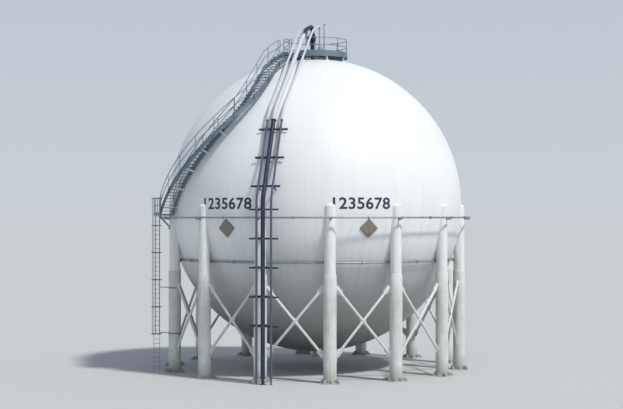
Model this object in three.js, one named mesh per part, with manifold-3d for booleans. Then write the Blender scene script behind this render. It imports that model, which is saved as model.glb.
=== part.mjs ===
// Spherical gas tank on fourteen tubular legs, in millimetres, +Z up.
// The origin is on the ground, under the middle of the whole structure.
// An azimuth is counted from -Y, the front, towards +X.
import * as THREE from 'three';
import { mergeVertices } from 'three/addons/utils/BufferGeometryUtils.js';
import Module from 'manifold-3d';

const wasm = await Module();
wasm.setup();

// Driving dimensions
const shellRadius = 9880;
const shellWall = 50;
const centreHeight = 11000;
const lowerJointLatitude = 23;
const upperJointLatitude = 55;

const legCount = 14;
const firstLegAzimuth = 5.2;
const legCircleRadius = 9730;
const legRadius = 355.5;
const legTop = 11060;
const capHeight = 200;
const capSteps = 3;
const legSides = 12;
const fireproofRadius = 405;
const fireproofTop = 6600;
const basePlateSide = 1150;
const basePlateThickness = 45;

const braceRadius = 84;
const braceTop = 6350;
const braceBottom = 1180;
const gussetReach = 860;
const gussetLength = 500;
const gussetWidth = 360;
const gussetThickness = 22;
const crossPlateSide = 400;
const crossPlateThickness = 30;

const ringPipeRadius = 57;
const upperRingHeight = 10160;
const upperRingRadius = 10450;
const lowerRingHeight = 7360;
const lowerRingGap = 25;
const ringArmWidth = 100;
const ringArmHeight = 70;

const landingLegAzimuth = firstLegAzimuth - 3 * 360 / legCount;
const landingFloor = 10400;
const landingThickness = 120;
const landingHalfLength = 1000;
const landingOuterRadius = 10950;
const landingKneeRadius = 60;
const landingKneeFoot = 9250;
const landingKneeInset = 120;

const stairRadius = 10420;
const stairHalfWidth = 380;
const stairPitch = 45;
const runAzimuth = -22.7;
const runOffset = 810;
const bendEasing = 1200;
const stairSegments = 18;
const risersPerSegment = 3;
const stringerThickness = 30;
const stringerRise = 60;
const stringerDrop = 200;
const treadThickness = 40;
const nosing = 30;
const flightCount = 3;
const stairBracketDrop = 140;
const crossbarSide = 70;
const strutRadius = 50;

const railHeight = 1070;
const kneeRailHeight = 560;
const railRadius = 24;
const postSide = 46;
const postFoot = 120;

const deckClearance = 250;
const deckThickness = 200;
const deckRadius = 2200;
const wellRadius = 1000;
const deckRailRadius = 2140;
const deckSides = 24;
const deckPosts = 8;
const deckPostRadius = 60;
const deckPostInset = 150;
const tongueLength = 900;

const riserAzimuth = -17.2;
const riserStandoff = 10870;
const riserFoot = 400;
const riserKneeHeight = 300;
const kneeReach = 8500;
const kneeRise = 5930;
const crestReach = 2170;
const crestRise = 11660;
const dropReach = 650;
const dropRise = 12100;
const riserBends = [400, 600, 500, 450];
const kneeJoint = 750;
const crestJoint = 600;
const riserMainRadius = 137;
const riserSideRadius = 70;
const riserLeftOffset = -410;
const riserRightOffset = 530;
const crownValveRadius = 260;
const crownValveLow = 10950;
const crownValveHigh = 11550;
const crownStemRadius = 90;
const crownWheelRadius = 200;
const crownWheelReach = 1100;
const crownWheelThickness = 40;
const riserFlangeFactor = 1.35;
const riserFlangeThickness = 80;
const riserFootPlate = 30;
const bracketHalfWidth = 950;
const bracketHeight = 100;
const bracketArmHeight = 80;
const bracketArmReach = 900;
const legArmHalfWidth = 60;
const shellArmHalfWidth = 40;
const bracketSpacing = 1780;
const topLegBracket = -350;
const legBrackets = 5;
const lowShellBracket = 1150;
const shellBrackets = 3;
const shellArmOffset = 500;

const ladderHalfWidth = 200;
const ladderInset = 30;
const ladderArms = [2550, 5550];
const ladderArmRadius = 30;
const stileDepth = 60;
const stileThickness = 20;
const rungPitch = 300;
const rungRadius = 16;
const cageRadius = 350;
const cageStart = 2400;
const cageHoops = 6;
const hoopHeight = 60;
const flatBar = 20;
const strapWidth = 50;

const manwayNeckRadius = 305;
const manwayFlangeRadius = 375;
const topManwayPlace = [-330, 330];
const topManwayLength = 420;
const bottomManwayPlace = [900, 900];
const bottomManwayLength = 300;
const flangeThickness = 110;

const valvePlaces = [[330, -180, 20], [330, 440, -20]];
const valveNeckRadius = 110;
const valveFlangeRadius = 180;
const valveNeckLength = 300;
const valveBodyRadius = 120;
const valveBodyTop = 900;
const bonnetRadius = 70;
const bonnetTop = 1250;
const outletRise = 560;
const stackReach = 330;
const stackRadius = 90;
const stackTop = 2400;

const nozzleRadius = 160;
const nozzleFlangeRadius = 250;
const nozzleLength = 420;
const nozzleFlange = 90;

const gap = 0.3;
const overlap = 10;
const weldDepth = 200;
const beyond = 20000;
const shellSegments = 3 * legCount;
const pipeSides = 8;
const ringSides = 6;
const railSides = 4;
const braceSides = 6;
const bendSteps = 3;
const neckSides = 12;
const manwaySides = 16;

const bayAngle = 360 / legCount;
const deckFloor = shellRadius + deckClearance;

// Helpers
const radians = THREE.MathUtils.degToRad;

function toSolid(geometry) {
  const bare = geometry.clone();
  bare.deleteAttribute('normal');
  bare.deleteAttribute('uv');
  const welded = mergeVertices(bare, 0.01);
  const corners = welded.index.array;
  const kept = [];
  for (let i = 0; i < corners.length; i += 3) {
    const [a, b, c] = corners.slice(i, i + 3);
    if (a !== b && b !== c && c !== a) kept.push(a, b, c);
  }
  return new wasm.Manifold(new wasm.Mesh({
    numProp: 3,
    vertProperties: welded.attributes.position.array,
    triVerts: new Uint32Array(kept),
  }));
}

function toGeometry(solid) {
  const mesh = solid.getMesh();
  const geometry = new THREE.BufferGeometry();
  geometry.setAttribute('position', new THREE.BufferAttribute(mesh.vertProperties, 3));
  geometry.setIndex(new THREE.BufferAttribute(mesh.triVerts, 1));
  geometry.computeVertexNormals();
  return geometry;
}

function join(geometries) {
  return geometries.map(toSolid).reduce((whole, piece) => whole.add(piece));
}

function block(x0, x1, y0, y1, z0, z1) {
  const geometry = new THREE.BoxGeometry(x1 - x0, y1 - y0, z1 - z0);
  return geometry.translate((x0 + x1) / 2, (y0 + y1) / 2, (z0 + z1) / 2);
}

function bar(from, to, radius, sides) {
  const run = to.clone().sub(from);
  const geometry = new THREE.CylinderGeometry(radius, radius, run.length(), sides);
  const turn = new THREE.Quaternion().setFromUnitVectors(new THREE.Vector3(0, 1, 0), run.normalize());
  const middle = from.clone().add(to).multiplyScalar(0.5);
  return geometry.applyQuaternion(turn).translate(middle.x, middle.y, middle.z);
}

function drum(radius, z0, z1, x, y, sides) {
  return bar(new THREE.Vector3(x, y, z0), new THREE.Vector3(x, y, z1), radius, sides);
}

// A turned shape about the vertical axis, from a profile of radius and height.
function turned(profile, sides, firstAzimuth) {
  return new THREE.LatheGeometry(profile, sides, firstAzimuth).rotateX(Math.PI / 2);
}

function arcPoints(radius, fromLatitude, toLatitude, steps) {
  const points = [];
  for (let i = 0; i <= steps; i += 1) {
    const latitude = fromLatitude + (toLatitude - fromLatitude) * i / steps;
    const x = Math.abs(latitude) === 90 ? 0 : radius * Math.cos(radians(latitude));
    points.push(new THREE.Vector2(x, centreHeight + radius * Math.sin(radians(latitude))));
  }
  return points;
}

// A route with a section exactly at each of its corners.
class CornerRoute extends THREE.Curve {
  constructor(corners) {
    super();
    this.corners = corners;
  }

  getPoint(share) {
    const place = share * (this.corners.length - 1);
    const index = Math.min(Math.floor(place), this.corners.length - 2);
    return this.corners[index].clone().lerp(this.corners[index + 1], place - index);
  }

  getPointAt(share) {
    return this.getPoint(share);
  }

  getTangentAt(share) {
    const index = Math.round(share * (this.corners.length - 1));
    const here = this.corners[index];
    const before = this.corners[Math.max(index - 1, 0)];
    const after = this.corners[Math.min(index + 1, this.corners.length - 1)];
    const arriving = here.clone().sub(before).normalize();
    const leaving = after.clone().sub(here).normalize();
    return arriving.add(leaving).normalize();
  }
}

function tube(corners, radius, sides) {
  return new THREE.ExtrudeGeometry(circleShape(radius, sides),
    { steps: corners.length - 1, bevelEnabled: false, extrudePath: new CornerRoute(corners) });
}

// Corners with each inner one replaced by a short bend that starts and ends so far from it.
function bent(points, bends) {
  const corners = [points[0]];
  for (let i = 1; i + 1 < points.length; i += 1) {
    const start = points[i].clone().sub(points[i - 1]).setLength(-bends[i - 1]).add(points[i]);
    const end = points[i + 1].clone().sub(points[i]).setLength(bends[i - 1]).add(points[i]);
    const curve = new THREE.QuadraticBezierCurve3(start, points[i], end);
    corners.push(...curve.getPoints(bendSteps));
  }
  corners.push(points[points.length - 1]);
  return corners;
}

function circleShape(radius, sides) {
  const corners = [];
  for (let i = 0; i < sides; i += 1) {
    const turn = 2 * Math.PI * i / sides;
    corners.push(new THREE.Vector2(radius * Math.cos(turn), radius * Math.sin(turn)));
  }
  return new THREE.Shape(corners);
}

const finish = {
  shell: { color: 0xe4e7e8, roughness: 0.45, metalness: 0 },
  leg: { color: 0xd9dcda, roughness: 0.7, metalness: 0 },
  brace: { color: 0xcfd3d3, roughness: 0.5, metalness: 0.2 },
  ring: { color: 0x8f979c, roughness: 0.5, metalness: 0.4 },
  riser: { color: 0x1c2e44, roughness: 0.5, metalness: 0.3 },
  side: { color: 0x4a5b6d, roughness: 0.5, metalness: 0.3 },
  pale: { color: 0xc9ced1, roughness: 0.5, metalness: 0.3 },
  stair: { color: 0x7d8a96, roughness: 0.6, metalness: 0.5 },
};

const tank = new THREE.Group();

function addPiece(name, solid, look, azimuth = 0) {
  const mesh = new THREE.Mesh(toGeometry(solid), new THREE.MeshStandardMaterial(finish[look]));
  mesh.name = name;
  mesh.rotation.z = radians(azimuth);
  tank.add(mesh);
}

// Shell: a crown at each end and three courses between them, joined on level seams
const seamLatitudes = [-90, -upperJointLatitude, -lowerJointLatitude,
  lowerJointLatitude, upperJointLatitude, 90];
const courseSteps = [3, 3, 5, 3, 3];
const courseNames = ['shell_bottom_crown', 'shell_lower_course', 'shell_equator_course',
  'shell_upper_course', 'shell_top_crown'];
const firstLeg = radians(firstLegAzimuth);

function shellCourse(index) {
  const low = seamLatitudes[index];
  const high = seamLatitudes[index + 1];
  const steps = courseSteps[index];
  const outer = arcPoints(shellRadius, low, high, steps);
  const inner = arcPoints(shellRadius - shellWall, high, low, steps);
  // Both edges of a course lie at the heights of its outer corners, so the seams are level.
  if (low > -90) inner[steps] = levelInner(outer[0].y);
  if (high < 90) inner[0] = levelInner(outer[steps].y);
  if (high === 90) return turned([...inner, ...outer], shellSegments, firstLeg);
  if (low === -90) return turned([...outer, ...inner], shellSegments, firstLeg);
  return turned([...outer, ...inner, outer[0].clone()], shellSegments, firstLeg);
}

function levelInner(height) {
  const rise = height - centreHeight;
  return new THREE.Vector2(Math.sqrt((shellRadius - shellWall) ** 2 - rise ** 2), height);
}

courseNames.forEach((name, index) => {
  addPiece(name, toSolid(shellCourse(index)), 'shell');
});

function fullBall(radius) {
  const profile = [];
  courseSteps.forEach((steps, index) => {
    profile.push(...arcPoints(radius, seamLatitudes[index], seamLatitudes[index + 1], steps));
  });
  return toSolid(turned(profile, shellSegments, firstLeg));
}

const shellEnvelope = fullBall(shellRadius + gap);

// The same envelope as it lies for a piece that is modelled at the front and then turned.
function envelopeFor(azimuth) {
  return shellEnvelope.rotate([0, 0, -azimuth]);
}

// Legs: a capped pipe welded to the shell, cased in concrete below, on a base plate
function legOutline(extra) {
  const profile = [
    new THREE.Vector2(0, basePlateThickness / 2),
    new THREE.Vector2(fireproofRadius + extra, basePlateThickness / 2),
    new THREE.Vector2(fireproofRadius + extra, fireproofTop),
    new THREE.Vector2(legRadius + extra, fireproofTop + fireproofRadius - legRadius),
    new THREE.Vector2(legRadius + extra, legTop - capHeight),
  ];
  for (let i = 1; i < capSteps; i += 1) {
    const turn = Math.PI / 2 * i / capSteps;
    const x = (legRadius + extra) * Math.cos(turn);
    profile.push(new THREE.Vector2(x, legTop - capHeight + (capHeight + extra) * Math.sin(turn)));
  }
  profile.push(new THREE.Vector2(0, legTop + extra));
  return profile;
}

const legFlat = Math.cos(Math.PI / legSides);

function legColumn(extra, azimuth = 0) {
  const column = turned(legOutline(extra), legSides, Math.PI / legSides);
  return column.translate(0, -legCircleRadius, 0).rotateZ(radians(azimuth));
}

const half = basePlateSide / 2;
const basePlate = block(-half, half, -legCircleRadius - half, -legCircleRadius + half, 0, basePlateThickness);
const legSolid = join([legColumn(0), basePlate]).subtract(envelopeFor(firstLegAzimuth));

for (let i = 0; i < legCount; i += 1) {
  const name = `leg_${String(i + 1).padStart(2, '0')}`;
  addPiece(name, legSolid, 'leg', firstLegAzimuth + i * bayAngle);
}

// Braces: two crossed pipes in each bay between two legs, slotted over gussets and a plate where they cross
const bayHalfWidth = legCircleRadius * Math.sin(radians(bayAngle / 2));
const bayPlane = -legCircleRadius * Math.cos(radians(bayAngle / 2));

function braceSolid() {
  const middle = (braceTop + braceBottom) / 2;
  const crossPlate = new THREE.BoxGeometry(crossPlateSide, crossPlateThickness, crossPlateSide);
  const pieces = [crossPlate.translate(0, bayPlane, middle)];
  const slope = Math.atan2(braceTop - braceBottom, 2 * bayHalfWidth);
  for (const side of [-1, 1]) {
    const high = new THREE.Vector3(side * bayHalfWidth, bayPlane, braceTop);
    const low = new THREE.Vector3(-side * bayHalfWidth, bayPlane, braceBottom);
    pieces.push(bar(high, low, braceRadius, braceSides));
    for (const reach of [gussetReach, high.distanceTo(low) - gussetReach]) {
      const place = low.clone().sub(high).setLength(reach).add(high);
      const gusset = new THREE.BoxGeometry(gussetLength, gussetThickness, gussetWidth);
      pieces.push(gusset.rotateY(-side * slope).translate(place.x, place.y, place.z));
    }
  }
  const legs = join([legColumn(gap, -bayAngle / 2), legColumn(gap, bayAngle / 2)]);
  return join(pieces).subtract(legs);
}

const crossBrace = braceSolid();
for (let i = 0; i < legCount; i += 1) {
  const name = `brace_${String(i + 1).padStart(2, '0')}`;
  addPiece(name, crossBrace, 'brace', firstLegAzimuth + (i + 0.5) * bayAngle);
}

// Deluge rings: a water pipe around the shell, outside the legs, and one inside them
function ringSolid(radius, height, reachFrom, reachTo) {
  const ring = new THREE.TorusGeometry(radius, ringPipeRadius, ringSides, shellSegments);
  ring.rotateZ(firstLeg - Math.PI / 2).translate(0, 0, height);
  const pieces = [ring];
  for (let i = 0; i < legCount; i += 1) {
    const arm = block(-ringArmWidth / 2, ringArmWidth / 2, -reachTo, -reachFrom,
      height - ringArmHeight / 2, height + ringArmHeight / 2);
    pieces.push(arm.rotateZ(firstLeg + i * radians(bayAngle)));
  }
  return join(pieces);
}

const legOuterFace = legCircleRadius + legRadius * legFlat;
const legInnerFace = legCircleRadius - legRadius * legFlat;
const lowerRingRadius = legInnerFace - lowerRingGap - ringPipeRadius;
addPiece('upper_deluge_ring',
  ringSolid(upperRingRadius, upperRingHeight, legOuterFace + gap, upperRingRadius), 'ring');
addPiece('lower_deluge_ring',
  ringSolid(lowerRingRadius, lowerRingHeight, lowerRingRadius, legInnerFace - gap), 'ring');

// Stair: a climb of constant pitch around the shell, then a straight run up to the top deck
function pitchedAzimuth(rise) {
  const planRadius = Math.sqrt(stairRadius ** 2 - rise ** 2);
  const pitchSine = Math.sin(radians(stairPitch));
  const pitchCosine = Math.cos(radians(stairPitch));
  const runStart = stairRadius * pitchCosine;
  if (rise >= runStart) return radians(runAzimuth) - Math.asin(runOffset / planRadius);
  const swing = (value) => {
    const left = Math.sqrt(Math.max(pitchCosine ** 2 - value ** 2, 1e-12));
    const turn = Math.asin(Math.min(value / pitchCosine, 1));
    return (turn - pitchSine * Math.atan(pitchSine * value / left)) / pitchSine;
  };
  return pitchedAzimuth(runStart) - swing(pitchCosine) + swing(rise / stairRadius);
}

// The bend between the climb and the run is eased over this much rise.
function stairAzimuth(rise) {
  const easing = Math.min(bendEasing, deckFloor - rise);
  let sum = 0;
  for (const share of [-1, -0.5, 0, 0.5, 1]) sum += pitchedAzimuth(rise + share * easing);
  return sum / 5;
}

function stairPoint(rise) {
  const planRadius = Math.sqrt(stairRadius ** 2 - rise ** 2);
  const azimuth = stairAzimuth(rise);
  return new THREE.Vector3(planRadius * Math.sin(azimuth), -planRadius * Math.cos(azimuth),
    centreHeight + rise);
}

const stairBottomRise = landingFloor - centreHeight;
const segmentRise = (deckFloor - stairBottomRise) / stairSegments;
const riserStep = segmentRise / risersPerSegment;
const stations = [];
for (let i = 0; i <= stairSegments; i += 1) stations.push(stairPoint(stairBottomRise + i * segmentRise));

function segmentRun(index) {
  const start = stations[index];
  const end = stations[index + 1];
  return Math.hypot(end.x - start.x, end.y - start.y);
}

function segmentHeading(index) {
  const start = stations[index];
  const end = stations[index + 1];
  return Math.atan2(end.y - start.y, end.x - start.x);
}

// Puts a piece from a segment's own frame (along, left, up from its first station) in its place.
function placeOnStair(geometry, index) {
  const start = stations[index];
  return geometry.rotateZ(segmentHeading(index)).translate(start.x, start.y, start.z);
}

function stringer(index, side) {
  const run = segmentRun(index);
  const slope = segmentRise / run;
  const spare = 20;
  const outline = new THREE.Shape([
    new THREE.Vector2(-spare, -stringerDrop - spare * slope),
    new THREE.Vector2(run + spare, segmentRise - stringerDrop + spare * slope),
    new THREE.Vector2(run + spare, segmentRise + stringerRise + spare * slope),
    new THREE.Vector2(-spare, stringerRise - spare * slope),
  ]);
  const plate = new THREE.ExtrudeGeometry(outline, { depth: stringerThickness, bevelEnabled: false });
  plate.rotateX(Math.PI / 2);
  const left = side > 0 ? stairHalfWidth + stringerThickness : -stairHalfWidth;
  return placeOnStair(plate.translate(0, left, 0), index);
}

function treads(index) {
  const going = segmentRun(index) / risersPerSegment;
  const pieces = [];
  for (let i = 0; i < risersPerSegment; i += 1) {
    const top = (i + 1) * riserStep;
    const tread = block(i * going - nosing / 2, (i + 1) * going + nosing / 2,
      -stairHalfWidth - overlap / 2, stairHalfWidth + overlap / 2, top - treadThickness, top);
    pieces.push(placeOnStair(tread, index));
  }
  return pieces;
}

// A crossbar under the treads, and a strut from it down to the shell
function stairBracket(index) {
  const reach = stairHalfWidth + overlap;
  const cross = block(-crossbarSide / 2, crossbarSide / 2, -reach, reach,
    -stairBracketDrop - crossbarSide, -stairBracketDrop);
  const head = stations[index].clone();
  head.z -= stairBracketDrop + crossbarSide / 2;
  const centre = new THREE.Vector3(0, 0, centreHeight);
  const foot = head.clone().sub(centre).setLength(shellRadius - weldDepth).add(centre);
  return [placeOnStair(cross, index), bar(head, foot, strutRadius, railSides)];
}

// Everything past a station, so that neighbouring flights end on one upright plane
function pastStation(index, heading, direction) {
  const reach = 3 * deckRadius;
  const cutter = direction > 0
    ? block(-gap / 2, reach, -reach, reach, -reach, reach)
    : block(-reach, gap / 2, -reach, reach, -reach, reach);
  const point = stations[index];
  return toSolid(cutter.rotateZ(heading).translate(point.x, point.y, point.z));
}

function jointHeading(index) {
  if (index === stairSegments) return segmentHeading(index - 1);
  return (segmentHeading(index - 1) + segmentHeading(index)) / 2;
}

const landingEnd = toSolid(block(-beyond, landingHalfLength + gap, -beyond, 0, 0, beyond)
  .rotateZ(radians(landingLegAzimuth)));
const segmentsPerFlight = stairSegments / flightCount;

for (let flight = 0; flight < flightCount; flight += 1) {
  const first = flight * segmentsPerFlight;
  const last = first + segmentsPerFlight;
  const pieces = [];
  for (let i = first; i < last; i += 1) {
    pieces.push(stringer(i, 1), stringer(i, -1), ...treads(i));
    if ((i - first) % 2 === 1) pieces.push(...stairBracket(i));
  }
  let solid = join(pieces).subtract(shellEnvelope);
  solid = solid.subtract(pastStation(last, jointHeading(last), 1));
  solid = solid.subtract(flight === 0 ? landingEnd : pastStation(first, jointHeading(first), -1));
  addPiece(`stair_flight_${flight + 1}`, solid, 'stair');
}

// Stair handrails: posts on the outside of a stringer, and two rails
function stairRail(side) {
  const offset = side * (stairHalfWidth + stringerThickness + gap + postSide / 2);
  const pieces = [];
  const heads = [];
  for (let i = 0; i < stairSegments; i += 1) {
    const run = segmentRun(i);
    const lift = segmentRise / 2;
    if (i % 2 === 0 || i === stairSegments - 1) {
      const post = block(run / 2 - postSide / 2, run / 2 + postSide / 2,
        offset - postSide / 2, offset + postSide / 2, lift - postFoot, lift + railHeight);
      pieces.push(placeOnStair(post, i));
    }
    const head = new THREE.Vector3(run / 2, offset, lift);
    heads.push(head.applyAxisAngle(new THREE.Vector3(0, 0, 1), segmentHeading(i)).add(stations[i]));
  }
  for (const height of [railHeight - railRadius, kneeRailHeight]) {
    pieces.push(tube(heads.map((head) => head.clone().setZ(head.z + height)), railRadius, railSides));
  }
  return join(pieces);
}

addPiece('stair_handrail_left', stairRail(1), 'stair');
addPiece('stair_handrail_right', stairRail(-1), 'stair');

// Landing: a small deck on the outside of one leg, with a knee brace, a railing and a ladder
const landingUnderside = landingFloor - landingThickness;
const landingInner = legOuterFace + gap;
const landingDeck = block(-landingHalfLength, landingHalfLength, -landingOuterRadius, -landingInner,
  landingUnderside, landingFloor);
const kneeFoot = new THREE.Vector3(0, -legCircleRadius, landingKneeFoot);
const kneeHead = new THREE.Vector3(0, -landingOuterRadius + landingKneeInset,
  landingUnderside + landingThickness / 3);
const landing = join([landingDeck, bar(kneeFoot, kneeHead, landingKneeRadius, braceSides)])
  .subtract(toSolid(legColumn(gap)));
addPiece('stair_landing', landing, 'stair', landingLegAzimuth);

function landingRailing() {
  const side = -landingOuterRadius + postSide;
  const reach = landingHalfLength - postSide;
  const pieces = [];
  for (const x of [-reach, 0, reach]) {
    pieces.push(block(x - postSide / 2, x + postSide / 2, side - postSide / 2, side + postSide / 2,
      landingFloor, landingFloor + railHeight));
  }
  for (const height of [railHeight - railRadius, kneeRailHeight]) {
    const level = landingFloor + height;
    pieces.push(bar(new THREE.Vector3(-reach, side, level), new THREE.Vector3(reach, side, level),
      railRadius, braceSides));
  }
  return join(pieces);
}

addPiece('landing_railing', landingRailing(), 'stair', landingLegAzimuth);

const ladderCentre = -landingOuterRadius + ladderInset + ladderHalfWidth;
const ladderFront = -landingHalfLength - gap;

function ladderSolid() {
  const pieces = [];
  for (const side of [-1, 1]) {
    const y = ladderCentre + side * ladderHalfWidth;
    pieces.push(block(ladderFront - stileDepth, ladderFront, y - stileThickness / 2, y + stileThickness / 2,
      0, landingFloor + railHeight));
  }
  const x = ladderFront - stileDepth / 2;
  for (let z = rungPitch; z <= landingFloor; z += rungPitch) {
    pieces.push(bar(new THREE.Vector3(x, ladderCentre - ladderHalfWidth, z),
      new THREE.Vector3(x, ladderCentre + ladderHalfWidth, z), rungRadius, railSides));
  }
  for (const z of ladderArms) {
    const stile = new THREE.Vector3(x, ladderCentre + ladderHalfWidth, z);
    pieces.push(bar(stile, new THREE.Vector3(0, -legCircleRadius, z), ladderArmRadius, braceSides));
  }
  return join(pieces).subtract(toSolid(legColumn(gap)));
}

function ladderCage() {
  const back = ladderFront - stileDepth - gap;
  const hoopShape = new THREE.Shape();
  hoopShape.absarc(0, 0, cageRadius, Math.PI / 2, 3 * Math.PI / 2, false);
  hoopShape.absarc(0, 0, cageRadius - flatBar, 3 * Math.PI / 2, Math.PI / 2, true);
  const pieces = [];
  const top = landingFloor + railHeight - hoopHeight - overlap;
  for (let i = 0; i < cageHoops; i += 1) {
    const z = cageStart + (top - cageStart) * i / (cageHoops - 1);
    const hoop = new THREE.ExtrudeGeometry(hoopShape,
      { depth: hoopHeight, bevelEnabled: false, curveSegments: railSides });
    pieces.push(hoop.translate(back - flatBar, ladderCentre, z));
    for (const side of [-1, 1]) {
      const inner = ladderCentre + side * (ladderHalfWidth - overlap);
      const outer = ladderCentre + side * cageRadius;
      pieces.push(block(back - flatBar, back, Math.min(inner, outer), Math.max(inner, outer),
        z, z + hoopHeight));
    }
  }
  for (const share of [1 / 4, 1 / 2, 3 / 4]) {
    const turn = Math.PI / 2 + Math.PI * share;
    const strap = block(cageRadius - 1.3 * flatBar, cageRadius - 0.4 * flatBar,
      -strapWidth / 2, strapWidth / 2, cageStart, top + hoopHeight);
    pieces.push(strap.rotateZ(turn).translate(back - flatBar, ladderCentre, 0));
  }
  return join(pieces);
}

addPiece('access_ladder', ladderSolid(), 'stair', landingLegAzimuth);
addPiece('ladder_cage', ladderCage(), 'stair', landingLegAzimuth);

// Top deck: a ring of grating on short posts, with a tongue out to the stair
const deckTop = centreHeight + deckFloor;

function topDeck() {
  const profile = [
    new THREE.Vector2(wellRadius, deckTop - deckThickness),
    new THREE.Vector2(deckRadius, deckTop - deckThickness),
    new THREE.Vector2(deckRadius, deckTop),
    new THREE.Vector2(wellRadius, deckTop),
    new THREE.Vector2(wellRadius, deckTop - deckThickness),
  ];
  const pieces = [turned(profile, deckSides, 0)];
  const last = stairSegments - 1;
  const run = segmentRun(last);
  const tongue = block(run + gap, run + tongueLength, -stairHalfWidth, stairHalfWidth,
    segmentRise - deckThickness, segmentRise);
  pieces.push(placeOnStair(tongue, last));
  for (let i = 0; i < deckPosts; i += 1) {
    const turn = (i + 0.5) * 2 * Math.PI / deckPosts;
    const x = (deckRadius - deckPostInset) * Math.sin(turn);
    const y = (deckRadius - deckPostInset) * Math.cos(turn);
    pieces.push(drum(deckPostRadius, centreHeight + shellRadius - 3 * weldDepth - 50,
      deckTop - deckThickness / 2, x, y, braceSides));
  }
  return join(pieces).subtract(shellEnvelope);
}

function deckRailing() {
  const pieces = [];
  for (const height of [railHeight - railRadius, kneeRailHeight]) {
    const rail = new THREE.TorusGeometry(deckRailRadius, railRadius, railSides, deckSides);
    pieces.push(rail.translate(0, 0, deckTop + height));
  }
  for (let i = 0; i < deckPosts; i += 1) {
    const turn = i * 2 * Math.PI / deckPosts;
    const post = block(-postSide / 2, postSide / 2, -deckRailRadius - postSide / 2,
      -deckRailRadius + postSide / 2, deckTop, deckTop + railHeight);
    pieces.push(post.rotateZ(turn));
  }
  const last = stairSegments - 1;
  const run = segmentRun(last);
  const doorway = block(run - weldDepth, run + deckRadius, -stairHalfWidth, stairHalfWidth,
    segmentRise - overlap, segmentRise + 2 * railHeight);
  return join(pieces).subtract(toSolid(placeOnStair(doorway, last)));
}

addPiece('top_deck', topDeck(), 'stair');
addPiece('top_deck_railing', deckRailing(), 'stair');

// Fittings in the well of the top deck, and under the bottom crown
const crownTop = centreHeight + shellRadius;
const crownBottom = centreHeight - shellRadius;

function topNeck([x, y], neckRadius, flangeRadius, length, sides) {
  return [drum(neckRadius, crownTop - weldDepth, crownTop + length, x, y, sides),
    drum(flangeRadius, crownTop + length - flangeThickness, crownTop + length, x, y, sides)];
}

function bottomNeck([x, y], neckRadius, flangeRadius, length, thickness, sides) {
  return [drum(neckRadius, crownBottom - length, crownBottom + weldDepth, x, y, sides),
    drum(flangeRadius, crownBottom - length, crownBottom - length + thickness, x, y, sides)];
}

addPiece('top_manway', join(topNeck(topManwayPlace, manwayNeckRadius, manwayFlangeRadius, topManwayLength,
  manwaySides)).subtract(shellEnvelope), 'pale');

function reliefValve(x, y, turn) {
  const stackX = x + stackReach * Math.cos(turn);
  const stackY = y + stackReach * Math.sin(turn);
  const outlet = crownTop + outletRise;
  const pieces = topNeck([x, y], valveNeckRadius, valveFlangeRadius, valveNeckLength, neckSides);
  pieces.push(drum(valveBodyRadius, crownTop + valveNeckLength - overlap, crownTop + valveBodyTop,
    x, y, neckSides));
  pieces.push(drum(bonnetRadius, crownTop + valveBodyTop - overlap, crownTop + bonnetTop, x, y, pipeSides));
  pieces.push(bar(new THREE.Vector3(x, y, outlet), new THREE.Vector3(stackX, stackY, outlet),
    stackRadius, pipeSides));
  pieces.push(drum(stackRadius, outlet - stackRadius, crownTop + stackTop, stackX, stackY, pipeSides));
  return join(pieces).subtract(shellEnvelope);
}

valvePlaces.forEach(([x, y, turn], index) => {
  addPiece(`relief_valve_${index + 1}`, reliefValve(x, y, radians(turn)), 'pale');
});

addPiece('bottom_nozzle', join(bottomNeck([0, 0], nozzleRadius, nozzleFlangeRadius, nozzleLength,
  nozzleFlange, neckSides)).subtract(shellEnvelope), 'pale');
addPiece('bottom_manway', join(bottomNeck(bottomManwayPlace, manwayNeckRadius, manwayFlangeRadius,
  bottomManwayLength, flangeThickness, manwaySides)).subtract(shellEnvelope), 'pale');

// Riser pipes: up beside a leg, over the shell, and down through the well of the top deck.
// Each is made of spools with flanged joints, a distance before the named corners of its route.
const riserEnvelope = envelopeFor(riserAzimuth);

function riserRoute(offset) {
  return [
    [riserStandoff, riserFoot],
    [riserStandoff, centreHeight + riserKneeHeight],
    [kneeReach, centreHeight + kneeRise],
    [crestReach, centreHeight + crestRise],
    [dropReach, centreHeight + dropRise],
    [dropReach, crownTop - weldDepth / 2],
  ].map(([reach, z]) => new THREE.Vector3(offset, -reach, z));
}

function riserPipe(offset, radius) {
  const sides = radius === riserSideRadius ? ringSides : pipeSides;
  const pipe = tube(bent(riserRoute(offset), riserBends), radius, sides);
  const round = (share, low, high) => drum(radius * share, low, high, offset, -riserStandoff, pipeSides);
  const flangeFoot = riserFoot - riserFlangeThickness / 4;
  return [pipe, round(0.7, 0, riserFoot + riserFlangeThickness),
    round(riserFlangeFactor, flangeFoot, flangeFoot + riserFlangeThickness),
    round(riserFlangeFactor, 0, riserFootPlate)];
}

// Cuts a riser into spools from the ground up, and gives both ends at each cut a flange.
function spools(solid, offset, radius, joints) {
  const route = riserRoute(offset);
  const parts = [];
  let rest = solid.subtract(riserEnvelope);
  for (const [corner, distance] of joints) {
    const direction = route[corner].clone().sub(route[corner - 1]).normalize();
    const joint = route[corner].clone().addScaledVector(direction, -distance);
    const level = direction.dot(joint);
    const flange = (from, to) => toSolid(bar(joint.clone().addScaledVector(direction, from),
      joint.clone().addScaledVector(direction, to), radius * riserFlangeFactor, pipeSides));
    const below = rest.trimByPlane(direction.clone().negate().toArray(), gap / 2 - level);
    parts.push(below.add(flange(-riserFlangeThickness / 2, -gap / 2)));
    rest = rest.trimByPlane(direction.toArray(), level + gap / 2)
      .add(flange(gap / 2, riserFlangeThickness / 2));
  }
  return [...parts, rest];
}

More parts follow.
